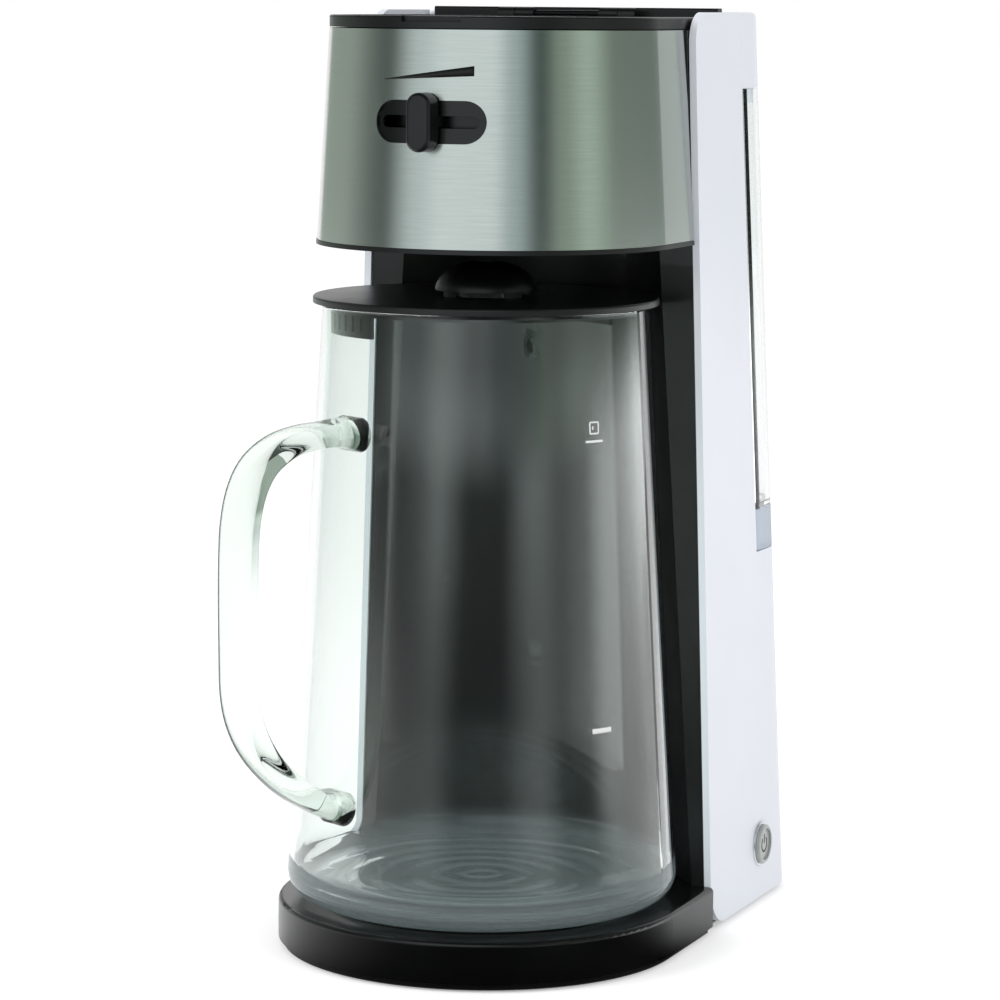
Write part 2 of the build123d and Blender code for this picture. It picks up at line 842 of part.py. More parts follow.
def riser_points():
    """Corners of the riser, from the heater up the duct and over the basket to the lid's inlet."""
    y = heater_front()
    level = water_tube_z()
    spout_top = lid_bottom() - shower_height - seam_gap
    spout = spout_top - riser_bends[-1] - seam_gap
    low_y = duct_front(riser_turn_z) + riser_duct_gap
    high_y = duct_front(spout) + riser_duct_gap
    return ((heater_spread, y, level), (heater_spread, low_y, level), (0, low_y, riser_turn_z),
            (0, high_y, spout), (0, inlet_y, spout), (0, inlet_y, spout_top))


def water_tube_z():
    """Height of the water tube, which lies on the heating element."""
    return heater_z + element_radius + water_tube_radius


def thermostat_top():
    return water_tube_z() + water_tube_radius + thermostat_height


def heater_front():
    """Open ends of the heater, behind the column's duct."""
    return duct_foot_front + riser_run


def heater_back():
    """Bend of the heater, as near to the leaning back wall as the thermostat lets it be."""
    return back_y(thermostat_top()) - panel_wall - heater_wall_gap - thermostat_radius


def riser_room():
    """Passage that the riser needs in the pieces that it goes through."""
    return bent_tube(riser_points(), riser_bends, hose_radius + fit_gap)


# Brew basket, filter and drip stop
def basket_radius(z):
    share = (z - basket_floor_z) / (ledge_z - basket_floor_z)
    return basket_low_radius + (basket_top_radius - basket_low_radius) * share


def brew_basket():
    rim = ledge_z + fit_gap
    top = rim + basket_flange
    floor_top = basket_floor_z + basket_wall
    inside_low = basket_radius(floor_top) - basket_wall
    cup = turned(((0, basket_floor_z), (basket_radius(basket_floor_z), basket_floor_z),
                  (basket_radius(rim), rim), (basket_flange_radius, rim), (basket_flange_radius, top),
                  (basket_radius(top) - basket_wall, top), (inside_low, floor_top), (0, floor_top)), head_y)
    spout = disc(spout_radius, spout_bottom, floor_top)
    bore = disc(spout_bore, spout_bottom + spout_lip, body_height)
    lip_bore = disc(spout_lip_bore, 0, floor_top)
    return cup + spout - bore - lip_bore


def drip_stop():
    """Sprung plug: a jug pushes the stem up and opens the outlet."""
    seat = spout_bottom + spout_lip + fit_gap
    plug = turned(((0, stop_bottom), (stop_stem_radius, stop_bottom), (stop_stem_radius, seat),
                   (plug_radius, seat), (plug_radius, seat + plug_height / 2),
                   (stop_stem_radius, seat + plug_height), (0, seat + plug_height)))
    return plug


def filter_profile(inset):
    low = basket_floor_z + basket_wall + fit_gap
    high = low + filter_height
    return low, high, filter_low_radius - inset, filter_top_radius - inset


def filter_floor():
    """Dish that closes the bottom of the filter."""
    low, high, low_radius, high_radius = filter_profile(0.0)
    foot = low + filter_foot
    foot_radius = low_radius + (high_radius - low_radius) * filter_foot / filter_height
    return turned(((0, low), (low_radius, low), (foot_radius, foot), (foot_radius - filter_wall, foot),
                   (low_radius - filter_wall, low + filter_wall), (0, low + filter_wall)), head_y)


def filter_frame():
    """Open cage on the dish: ribs between the windows and a rim over them."""
    low, high, low_radius, high_radius = filter_profile(0.0)
    foot = low + filter_foot
    foot_radius = low_radius + (high_radius - low_radius) * filter_foot / filter_height
    cage = turned(((foot_radius, foot), (high_radius, high), (high_radius - filter_wall, high),
                   (foot_radius - filter_wall, foot)), head_y)
    half = filter_window_angle / 2
    for number in range(filter_windows):
        turn = 360.0 * number / filter_windows
        cage -= ring_sector(2 * high_radius, 2 * high_radius - low_radius / 2, low,
                            high - filter_rim, half, head_y, turn)
    return cage


def filter_mesh():
    """Fine mesh cone that lines the cage."""
    low, high, low_radius, high_radius = filter_profile(filter_wall + running_gap)
    low += filter_wall + running_gap
    return turned(((0, low), (low_radius, low), (high_radius, high), (high_radius - mesh_wall, high),
                   (low_radius - mesh_wall, low + mesh_wall), (0, low + mesh_wall)), head_y)


# Glass jug with its handle
def jug_solid():
    """The jug's outside as a full solid, which trims the handle's ends."""
    return turned(((0, jug_bottom), (jug_low_radius, jug_bottom), (jug_rim_radius, jug_rim), (0, jug_rim)))


def jug_glass():
    floor = jug_bottom + glass_floor
    punt = jug_bottom + jug_punt_depth
    inside_low = jug_radius(floor) - glass_wall
    inside_high = jug_rim_radius - glass_wall
    corners = (((0, punt), 0), ((jug_punt_radius - jug_punt_slope, punt), jug_punt_round),
               ((jug_punt_radius, jug_bottom), jug_punt_round), ((jug_low_radius, jug_bottom), jug_corner),
               ((jug_rim_radius, jug_rim), rim_round), ((inside_high, jug_rim), rim_round),
               ((inside_low, floor), jug_inner_corner), ((0, floor), 0))
    outline = make_face(Polyline(*[point for point, radius in corners], close=True))
    for (x, y), radius in corners:
        if radius:
            outline = fillet(outline.vertices().sort_by_distance((x, y, 0))[0], radius)
    return revolve(Plane.XZ * outline, Axis.Z)


def handle_path():
    """Middle line of the strap, from inside the glass at the top to inside the glass at the foot."""
    turn = radians(handle_turn)
    height = jug_rim - jug_bottom
    places = []
    for out, share in handle_line:
        reach = jug_rim_radius + out
        places.append((-reach * sin(turn), -reach * cos(turn), jug_bottom + share * height))
    return Spline(*places)


def jug_handle():
    """Strap of solid glass on one smooth line, thicker where it is melted onto the jug."""
    turn = radians(handle_turn)
    across = (cos(turn), -sin(turn), 0)
    path = handle_path()
    share = joint_length / path.length
    outlines = ((0.0, joint_width, joint_thickness), (share, strap_width, strap_thickness),
                (0.5, strap_width, strap_thickness), (1 - share, strap_width, strap_thickness),
                (1.0, joint_width, joint_thickness))
    sections = [Plane(origin=path @ at, z_dir=path % at, x_dir=across) * SlotOverall(wide, thick)
                for at, wide, thick in outlines]
    return sweep(sections, path=path, multisection=True) - jug_solid()


# Jug lid: disc, inner skirt with strainers, and the dome over the well
def jug_lid():
    """Lid with a short rim inside the glass and two strainers that hang from it."""
    low = jug_rim + lid_disc_gap
    top = low + lid_disc_thickness
    plate = disc(lid_disc_radius, low, top)
    plate = fillet(plate.edges().group_by(Axis.Z)[-1], lid_disc_round)
    skirt_radius = jug_rim_radius - glass_wall - skirt_gap
    skirt_low = low - skirt_depth
    skirt = disc(skirt_radius, skirt_low, low) - disc(skirt_radius - skirt_wall, skirt_low, low)
    strainer_low = low - strainer_depth
    slot_low = strainer_low + strainer_foot
    half_angle = (strainer_slots + 1) * strainer_pitch / 2
    for turn in strainer_turns:
        skirt += ring_sector(skirt_radius, skirt_wall, strainer_low, low, half_angle, 0.0, turn)
        for number in range(strainer_slots):
            angle = turn + (number - (strainer_slots - 1) / 2) * strainer_pitch
            slot = block(-strainer_slot_width / 2, strainer_slot_width / 2, -skirt_radius - skirt_wall,
                         -skirt_radius + 2 * skirt_wall, slot_low, slot_low + strainer_slot_height)
            skirt -= Rot(0, 0, angle) * slot
    return plate + skirt - disc(lid_well_radius, skirt_low, body_height)


def dome():
    """Domed cover that stands on short ribs over the lid's well, open at its top."""
    foot = jug_rim + lid_disc_gap + lid_disc_thickness
    low = foot + neck_height
    outside = half_ellipse(dome_radius, dome_height)
    inside = half_ellipse(dome_radius - dome_wall, dome_height - dome_wall)
    shell = Pos(0, 0, low) * revolve(Plane.XZ * (outside - inside), Axis.Z)
    shell -= disc(dome_top_hole, foot, low + 2 * dome_height)
    rib_wall = neck_radius - lid_well_radius - fit_gap
    rib_top = low + neck_rib_height
    for number in range(neck_ribs):
        turn = 360.0 * number / neck_ribs + neck_rib_turn
        shell += ring_sector(neck_radius, rib_wall, foot, rib_top, neck_rib_angle / 2, 0.0, turn)
    return shell


def half_ellipse(reach, height):
    """Quarter of an ellipse that stands on its long axis, as a face."""
    arc = EllipticalCenterArc((0, 0), reach, height, start_angle=0, arc_size=90)
    return make_face(Polyline(arc @ 1, (0, 0), arc @ 0) + arc)


# Water tank at the back: clear body, frosted foot band, white cap
def tank_plan(inset):
    """Level outline of the tank, moved in by an inset, for each height."""
    corner = max(tank_front_corner - inset, seam_gap)
    return lambda z: plan(z, inset, seam_y(z) + tank_gap + inset, back_corner, corner)


def tank_neck():
    """Inset of the tank's low part, which stands inside the foot band."""
    return foot_band_wall + cap_gap


def tank_step():
    """Height of the ledge where the tank widens over its foot band."""
    return foot_band_top + cap_gap


def tank_body():
    """Clear wall of the tank over its ledge."""
    low = tank_step() + tank_wall
    return between(low, tank_top, tank_plan(0.0)) - between(low, body_height, tank_plan(tank_wall))


def tank_base():
    """Stepped bottom of the tank: floor with the valve's port, low wall and ledge."""
    bottom = tank_bottom()
    ledge_top = tank_step() + tank_wall
    base = between(bottom, tank_step(), tank_plan(tank_neck()))
    base += between(tank_step(), ledge_top, tank_plan(0.0))
    base -= between(bottom + tank_floor, ledge_top, tank_plan(tank_neck() + tank_wall))
    return base - disc(valve_port, 0, body_height, 0, valve_y())


def tank_bottom():
    """Underside of the clear tank, on the floor of its foot band."""
    return shelf_z + tank_lift + foot_band_floor + cap_gap


def valve_y():
    return seam_y(shelf_z) + tank_depth / 2


def tank_foot():
    """Frosted band that wraps the bottom of the tank and gives the grip to lift it."""
    bottom = shelf_z + tank_lift
    outside = between(bottom, foot_band_top, tank_plan(0.0))
    room = between(bottom + foot_band_floor, body_height, tank_plan(foot_band_wall))
    return outside - room - disc(valve_collar_radius + 2 * fit_gap, 0, foot_band_top, 0, valve_y())


def tank_cap():
    """Hollow cap with a lip on the tank's wall and a skirt inside it."""
    bottom = tank_top + cap_gap
    outside = between(bottom, body_height, tank_plan(0.0))
    outside = fillet(outside.edges().group_by(Axis.Z)[-1], cap_edge_radius)
    room = between(bottom - cap_wall, body_height - cap_wall, tank_plan(cap_wall))
    gap = tank_wall + cap_skirt_gap
    lip_top = bottom + cap_wall
    skirt_low = bottom - cap_skirt_depth
    well = between(skirt_low - cap_wall, lip_top + cap_wall, tank_plan(gap + cap_skirt_wall))
    skirt = between(skirt_low, lip_top, tank_plan(gap))
    lip = between(bottom, lip_top, tank_plan(cap_wall / 2))
    return outside - room + (lip + skirt - well)


# Valve under the tank, its seal, and the shelf with the socket
def valve_collar():
    top = tank_bottom()
    low = shelf_z - valve_collar_reach
    y = valve_y()
    groove_z = (low + shelf_z) / 2
    collar = disc(valve_collar_radius, low, top, 0, y) - disc(valve_bore, 0, body_height, 0, y)
    groove = Pos(0, y, groove_z) * Torus(valve_collar_radius, seal_radius + running_gap)
    return collar - groove


def valve_seal():
    groove_z = shelf_z - valve_collar_reach / 2
    ring = Pos(0, valve_y(), groove_z) * Torus(valve_collar_radius, seal_radius)
    return ring - disc(valve_collar_radius - seal_radius / 2, 0, body_height, 0, valve_y())


def valve_plunger():
    seat = tank_bottom() + tank_floor + fit_gap
    shoulder = seat + valve_disc_height / 2
    top = seat + valve_disc_height
    low = plunger_low()
    return turned(((0, low), (valve_stem_radius, low), (valve_stem_radius, seat), (valve_disc_radius, seat),
                   (valve_disc_radius, shoulder), (valve_stem_radius, top), (0, top)), valve_y())


def plunger_low():
    return tank_bottom() + tank_floor - valve_stem_drop


def tank_shelf():
    """Floor of the tank's bay. Its socket takes the valve, and its pin would open it."""
    low = shelf_z - shelf_thickness
    shelf = between(low, shelf_z, lambda z: plan(z, panel_wall + fit_gap, seam_y(z), back_corner))
    y = valve_y()
    socket_radius = valve_collar_radius + seal_radius + fit_gap
    shelf -= disc(socket_radius, shelf_z - socket_depth, body_height, 0, y)
    shelf += disc(socket_pin_radius, low, plunger_low() - socket_pin_gap, 0, y)
    shelf += disc(barb_radius, low - barb_length, low + shelf_thickness / 4, 0, barb_y())
    return shelf - disc(barb_bore, 0, body_height, 0, barb_y())


def barb_y():
    """The hose barb under the shelf stands behind the socket's pin."""
    return valve_y() + 2 * barb_radius


# Power button with its bezel and switch
def button_bezel():
    face = button_x()
    flange = along_x(bezel_flange_radius, face, face + bezel_rise, button_y, button_z)
    tube = along_x(bezel_tube_radius, face - bezel_depth, face + bezel_rise / 2, button_y, button_z)
    bore = along_x(button_radius + running_gap, 0, 2 * face, button_y, button_z)
    ring = fillet(flange.edges().group_by(Axis.X)[-1], bezel_rise / 2)
    return ring + tube - bore


def button_cap():
    face = button_x()
    outer = face + button_reach
    cap = along_x(button_radius, outer - button_length, outer, button_y, button_z)
    cap = fillet(cap.edges().group_by(Axis.X)[-1], button_edge_radius)
    hollow = along_x(button_radius - button_rim, outer - button_dish, 2 * outer, button_y, button_z)
    start = outer - button_length - button_stem_length
    stem = along_x(button_stem_radius, start, outer - button_length / 2, button_y, button_z)
    return cap - hollow + stem


def switch_body():
    high = button_x() + button_reach - button_length - button_travel - fit_gap
    low = high - switch_length
    half = switch_size / 2
    floor = button_z - half + pocket_margin / 2
    body = block(low, high, button_y - half, button_y + half, floor, button_z + half)
    bore_radius = button_stem_radius + running_gap
    return body - along_x(bore_radius, low + pocket_margin / 2, 2 * high, button_y, button_z)


# Water heater and hoses behind the base
def bent_tube(points, radii, radius, bore=0.0):
    """Round tube on straight runs joined by tangent arcs."""
    path = FilletPolyline(*points, radius=radii)
    start = Plane(origin=path @ 0, z_dir=path % 0)
    section = start * Circle(radius)
    if bore:
        section -= start * Circle(bore)
    return sweep(section, path=path)


def heater_parts():
    """Sheathed element and water tube, both bent in a U, on a cradle, with a thermostat on top."""
    front = heater_front()
    back = heater_back()
    half = heater_spread

    def loop(z):
        return ((-half, front, z), (-half, back, z), (half, back, z), (half, front, z))

    bends = (heater_bend, heater_bend)
    element = bent_tube(loop(heater_z), bends, element_radius)
    water = bent_tube(loop(water_tube_z()), bends, water_tube_radius, water_tube_bore)
    under = heater_z - element_radius
    cradle = block(-cradle_half_width, cradle_half_width, back - cradle_depth / 2, back + cradle_depth / 2,
                   back_floor_z, under)
    stat_low = water_tube_z() + water_tube_radius
    stat = disc(thermostat_radius, stat_low, thermostat_top(), 0, back)
    return {
        "heater_element": element,
        "heater_water_tube": water,
        "heater_cradle": cradle,
        "thermostat": stat,
    }


def hoses():
    """Feed hose from the tank's socket to the heater, and the riser up the column's duct."""
    level = water_tube_z()
    y = heater_front()
    feed_y = y - feed_run
    barb_low = shelf_z - shelf_thickness - barb_length
    valve_top = barb_low - feed_top_length
    valve_low = valve_top - valve_body_length
    feed_top = disc(hose_radius, valve_top, barb_low + barb_length / 2, 0, barb_y())
    feed_top -= disc(barb_radius + running_gap, 0, body_height, 0, barb_y())
    check = disc(valve_body_radius, valve_low, valve_top, 0, barb_y())
    check -= disc(hose_bore, 0, body_height, 0, barb_y())
    corners = ((0, barb_y(), valve_low), (0, barb_y(), valve_low - feed_straight),
               (-heater_spread, feed_y, level + feed_rise), (-heater_spread, feed_y, level),
               (-heater_spread, y, level))
    feed = bent_tube(corners, feed_bends, hose_radius, hose_bore)
    riser = bent_tube(riser_points(), riser_bends, hose_radius, hose_bore)
    return {"feed_hose_top": feed_top, "check_valve": check, "feed_hose": feed, "riser_hose": riser}


def control_board():
    y = seam_y(board_low)
    right = board_left + board_width
    return block(board_left, right, y, y + board_thickness, board_low, board_low + board_height)


bay_wall, head_mount, column_duct = column_pieces()
parts = {
    **side_panels(),
    "rear_cover": rear_cover(),
    "cord_gland": cord_gland(),
    "base_housing": base_housing(),
    "base_plate": base_plate(),
    **base_feet(),
    **base_screws(),
    "column": bay_wall,
    "head_mount": head_mount,
    "column_duct": column_duct,
    "head_drum": head_drum(),
    "steel_band": steel_band(),
    "slider_track": slider_track(),
    "slider_knob": slider_knob(),
    "slider_shutter": slider_shutter(),
    "rear_deck": rear_deck(),
    "hinge_pin": hinge_pin(),
    "lid_frame": lid_frame(),
    "lid_insert": lid_insert(),
    "shower_head": shower_head(),
    "brew_basket": brew_basket(),
    "drip_stop": drip_stop(),
    "filter_floor": filter_floor(),
    "filter_frame": filter_frame(),
    "filter_mesh": filter_mesh(),
    "jug_glass": jug_glass(),
    "jug_handle": jug_handle(),
    "jug_lid": jug_lid(),
    "jug_lid_dome": dome(),
    "tank_body": tank_body(),
    "tank_base": tank_base(),
    "tank_foot": tank_foot(),
    "tank_cap": tank_cap(),
    "valve_collar": valve_collar(),
    "valve_seal": valve_seal(),
    "valve_plunger": valve_plunger(),
    "tank_shelf": tank_shelf(),
    "button_bezel": button_bezel(),
    "button_cap": button_cap(),
    "switch_body": switch_body(),
    **heater_parts(),
    **hoses(),
    "control_board": control_board(),
}

# The footprint is centred in depth between the handle's front and the back cover
front_end = parts["jug_handle"].bounding_box().min.Y
back_end = parts["rear_cover"].bounding_box().max.Y
centre_shift = Pos(0, -(front_end + back_end) / 2, 0)

os.makedirs("parts", exist_ok=True)
for name, solid in parts.items():
    export_step(centre_shift * solid, f"parts/{name}.step")
print("jug axis at y =", round(-(front_end + back_end) / 2, 3))
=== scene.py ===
"""Looks of the iced coffee maker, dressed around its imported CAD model."""

import logging
from dataclasses import dataclass, field
from enum import Enum
from math import cos, hypot, pi, radians, sin
from typing import Any, Callable, Dict, List, Optional, Sequence, Tuple, Union

import bmesh
import bpy
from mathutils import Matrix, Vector
from mathutils.bvhtree import BVHTree


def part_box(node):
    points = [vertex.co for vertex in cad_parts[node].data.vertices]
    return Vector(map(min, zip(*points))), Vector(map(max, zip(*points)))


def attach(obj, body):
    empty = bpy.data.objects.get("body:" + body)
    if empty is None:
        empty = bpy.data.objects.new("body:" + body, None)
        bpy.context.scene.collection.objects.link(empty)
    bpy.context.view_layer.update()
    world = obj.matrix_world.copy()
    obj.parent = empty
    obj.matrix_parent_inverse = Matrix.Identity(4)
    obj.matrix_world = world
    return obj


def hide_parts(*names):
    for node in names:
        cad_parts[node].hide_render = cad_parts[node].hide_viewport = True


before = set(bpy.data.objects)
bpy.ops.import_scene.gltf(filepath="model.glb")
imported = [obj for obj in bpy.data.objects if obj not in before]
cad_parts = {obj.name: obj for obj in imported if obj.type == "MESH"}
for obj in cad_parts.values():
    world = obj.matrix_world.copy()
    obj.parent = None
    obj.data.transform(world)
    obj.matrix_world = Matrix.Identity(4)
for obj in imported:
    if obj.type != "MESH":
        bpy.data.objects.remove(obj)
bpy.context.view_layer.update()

logging.basicConfig(level=logging.INFO, format="%(name)s: %(message)s")
log = logging.getLogger("coffee_maker")

MM = 0.001
JUG_AXIS_Y_MM = -22.164
# At a scale of one, Blender's ring wave repeats over this length
WAVE_LENGTH = pi / 10
# Places of the mix node's two colours and of its result, and of the height among a point's three parts
MIX_A, MIX_B, MIX_OUT = 6, 7, 2
UP = 2

Point = Tuple[float, float, float]
Flat = Tuple[float, float]
Projector = Callable[[float, float], Tuple[Vector, Vector]]
# Corners, and the corner numbers of each face
Shape = Tuple[List[Vector], List[List[int]]]
# Angles and the colours there
Tones = Tuple[Tuple[float, str], ...]


def linear(hex_colour: str) -> Tuple[float, float, float, float]:
    """Turns an sRGB hex colour into the linear values that Blender's sockets take.

    Args:
        hex_colour: Colour such as "#F2F3F5".

    Returns:
        Linear red, green, blue and an alpha of one.
    """
    channels = [int(hex_colour[i:i + 2], 16) / 255 for i in (1, 3, 5)]
    # The curve of the sRGB standard
    red, green, blue = [c / 12.92 if c <= 0.04045 else ((c + 0.055) / 1.055) ** 2.4 for c in channels]
    return red, green, blue, 1.0


def add(tree: bpy.types.NodeTree, kind: str, settings: Optional[Dict[Any, Any]] = None,
        links: Optional[Dict[Any, Any]] = None) -> bpy.types.Node:
    """Adds one node to a tree.

    Args:
        tree: The node tree.
        kind: The node's type, such as "ShaderNodeBump".
        settings: Node properties and socket values by name; a number picks a socket by its place.
        links: Output sockets that feed this node's inputs, by the input's name or place.

    Returns:
        The new node.
    """
    node = tree.nodes.new(kind)
    for key, value in (settings or {}).items():
        if isinstance(key, int) or key in node.inputs:
            node.inputs[key].default_value = value
        else:
            setattr(node, key, value)
    for key, socket in (links or {}).items():
        tree.links.new(socket, node.inputs[key])
    return node


def placed(name: str, data: bpy.types.ID) -> bpy.types.Object:
    """Puts a new object in the scene.

    Args:
        name: Its name.
        data: Its mesh, lamp or camera.

    Returns:
        The object.
    """
    made = bpy.data.objects.new(name, data)
    bpy.context.scene.collection.objects.link(made)
    return made


def between(start: float, end: float, share: float) -> float:
    """Gives a number on the way from one to another.

    Args:
        start: The first number.
        end: The last one.
        share: How far along, from none to one.

    Returns:
        The number there.
    """
    return start + (end - start) * share


def blank(name: str) -> Tuple[bpy.types.Material, bpy.types.NodeTree]:
    """Makes an empty node material.

    Args:
        name: The material's name.

    Returns:
        The material and its node tree.
    """
    material = bpy.data.materials.new(name)
    material.use_nodes = True
    material.node_tree.nodes.clear()
    return material, material.node_tree


def spots(tree: bpy.types.NodeTree, size_mm: float, detail: float = 2.0,
          stretch: Point = (1.0, 1.0, 1.0)) -> bpy.types.NodeSocket:
    """Noise whose features have a real size.

    Args:
        tree: The node tree.
        size_mm: Size of one feature in millimetres.
        detail: Finer layers in the noise.
        stretch: How many times finer the noise is along each axis.

    Returns:
        The noise's value socket.
    """
    place = add(tree, "ShaderNodeTexCoord")
    fine = add(tree, "ShaderNodeMapping", {"Scale": stretch}, {"Vector": place.outputs["Object"]})
    noise = add(tree, "ShaderNodeTexNoise", {"Scale": 1 / (size_mm * MM), "Detail": detail},
                {"Vector": fine.outputs[0]})
    return noise.outputs["Fac"]


def calc(tree: bpy.types.NodeTree, operation: str, first: bpy.types.NodeSocket,
         second: Union[bpy.types.NodeSocket, float, None] = None) -> bpy.types.NodeSocket:
    """Works out one step of arithmetic in a node tree.

    Args:
        tree: The node tree.
        operation: The step, such as "MULTIPLY".
        first: The value that it starts from.
        second: The other value or number, where the step takes one.

    Returns:
        The result's socket.
    """
    settings: Dict[Any, Any] = {"operation": operation}
    links: Dict[Any, Any] = {0: first}
    if isinstance(second, float):
        settings[1] = second
    elif second is not None:
        links[1] = second
    return add(tree, "ShaderNodeMath", settings, links).outputs[0]


def remap(tree: bpy.types.NodeTree, value: bpy.types.NodeSocket, start: Flat = (0.0, 1.0),
          end: Flat = (0.0, 1.0), smooth: bool = False) -> bpy.types.NodeSocket:
    """Carries a value from one range to another.

    Args:
        tree: The node tree.
        value: The value.
        start: The two ends that it comes from.
        end: What they become.
        smooth: Whether it eases in and out at the ends.

    Returns:
        The new value's socket.
    """
    settings = {"interpolation_type": "SMOOTHSTEP" if smooth else "LINEAR",
                "From Min": start[0], "From Max": start[1], "To Min": end[0], "To Max": end[1]}
    return add(tree, "ShaderNodeMapRange", settings, {"Value": value}).outputs[0]


def position(tree: bpy.types.NodeTree) -> bpy.types.Node:
    """Splits a point's place in the machine's frame.

    Args:
        tree: The node tree.

    Returns:
        A node whose outputs are the place across, back and up in metres.
    """
    place = add(tree, "ShaderNodeTexCoord")
    return add(tree, "ShaderNodeSeparateXYZ", None, {0: place.outputs["Object"]})


@dataclass(frozen=True)
class MouldedPlastic:
    """Injection-moulded plastic: one colour right through, with the tool's fine texture on it."""

    name: str
    colour: str
    shade: str
    roughness: float
    grain_mm: float
    grain_depth_mm: float
    coat: float = 0.0
    coat_roughness: float = 0.04
    ior: float = 1.5
    grain_strength: float = 0.35
    # Lengths over which the colour and the gloss drift, and how far the gloss does
    tint_mm: float = 40.0
    smudge_mm: float = 12.0
    smudge_low: float = 0.9
    smudge_high: float = 1.15

    def make(self) -> bpy.types.Material:
        """Builds the material.

        Returns:
            The material.
        """
        material, tree = blank(self.name)
        # Slow drift of the colour and the gloss over a hand's width keeps large faces from looking printed
        tint = add(tree, "ShaderNodeMix",
                   {"data_type": "RGBA", MIX_A: linear(self.colour), MIX_B: linear(self.shade)},
                   {0: spots(tree, self.tint_mm)})
        smudge = remap(tree, spots(tree, self.smudge_mm),
                       end=(self.roughness * self.smudge_low, self.roughness * self.smudge_high))
        bump = add(tree, "ShaderNodeBump",
                   {"Strength": self.grain_strength, "Distance": self.grain_depth_mm * MM},
                   {"Height": spots(tree, self.grain_mm)})
        shader = add(tree, "ShaderNodeBsdfPrincipled",
                     {"IOR": self.ior, "Coat Weight": self.coat, "Coat Roughness": self.coat_roughness},
                     {"Base Color": tint.outputs[MIX_OUT], "Roughness": smudge, "Normal": bump.outputs[0]})
        add(tree, "ShaderNodeOutputMaterial", None, {"Surface": shader.outputs[0]})
        return material


@dataclass(frozen=True)
class WorkedMetal:
    """Metal with fine level lines: brushed sheet, or the faint tool marks of plated and cast pieces."""

    name: str
    colour: str
    shade: str
    roughness: float
    line_mm: float
    line_length_mm: float
    line_depth_mm: float
    anisotropy: float
    line_detail: float = 3.0
    line_strength: float = 0.5
    # How far the gloss changes from line to line
    rough_low: float = 0.75
    rough_high: float = 1.3
    # A quarter turn, so that light spreads across the lines
    spread_turn: float = 0.25

    def make(self) -> bpy.types.Material:
        """Builds the material.

        Returns:
            The material.
        """
        material, tree = blank(self.name)
        # The lines run level, so light spreads up and down and the steel shows upright bright and dark bands
        aspect = self.line_length_mm / self.line_mm
        lines = spots(tree, self.line_length_mm, self.line_detail, (1.0, 1.0, aspect))
        tint = add(tree, "ShaderNodeMix",
                   {"data_type": "RGBA", MIX_A: linear(self.colour), MIX_B: linear(self.shade)}, {0: lines})
        rough = remap(tree, lines, end=(self.roughness * self.rough_low, self.roughness * self.rough_high))
        bump = add(tree, "ShaderNodeBump",
                   {"Strength": self.line_strength, "Distance": self.line_depth_mm * MM}, {"Height": lines})
        shader = add(tree, "ShaderNodeBsdfPrincipled",
                     {"Metallic": 1.0, "Anisotropic": self.anisotropy,
                      "Anisotropic Rotation": self.spread_turn},
                     {"Base Color": tint.outputs[MIX_OUT], "Roughness": rough, "Normal": bump.outputs[0]})
        add(tree, "ShaderNodeOutputMaterial", None, {"Surface": shader.outputs[0]})
        return material


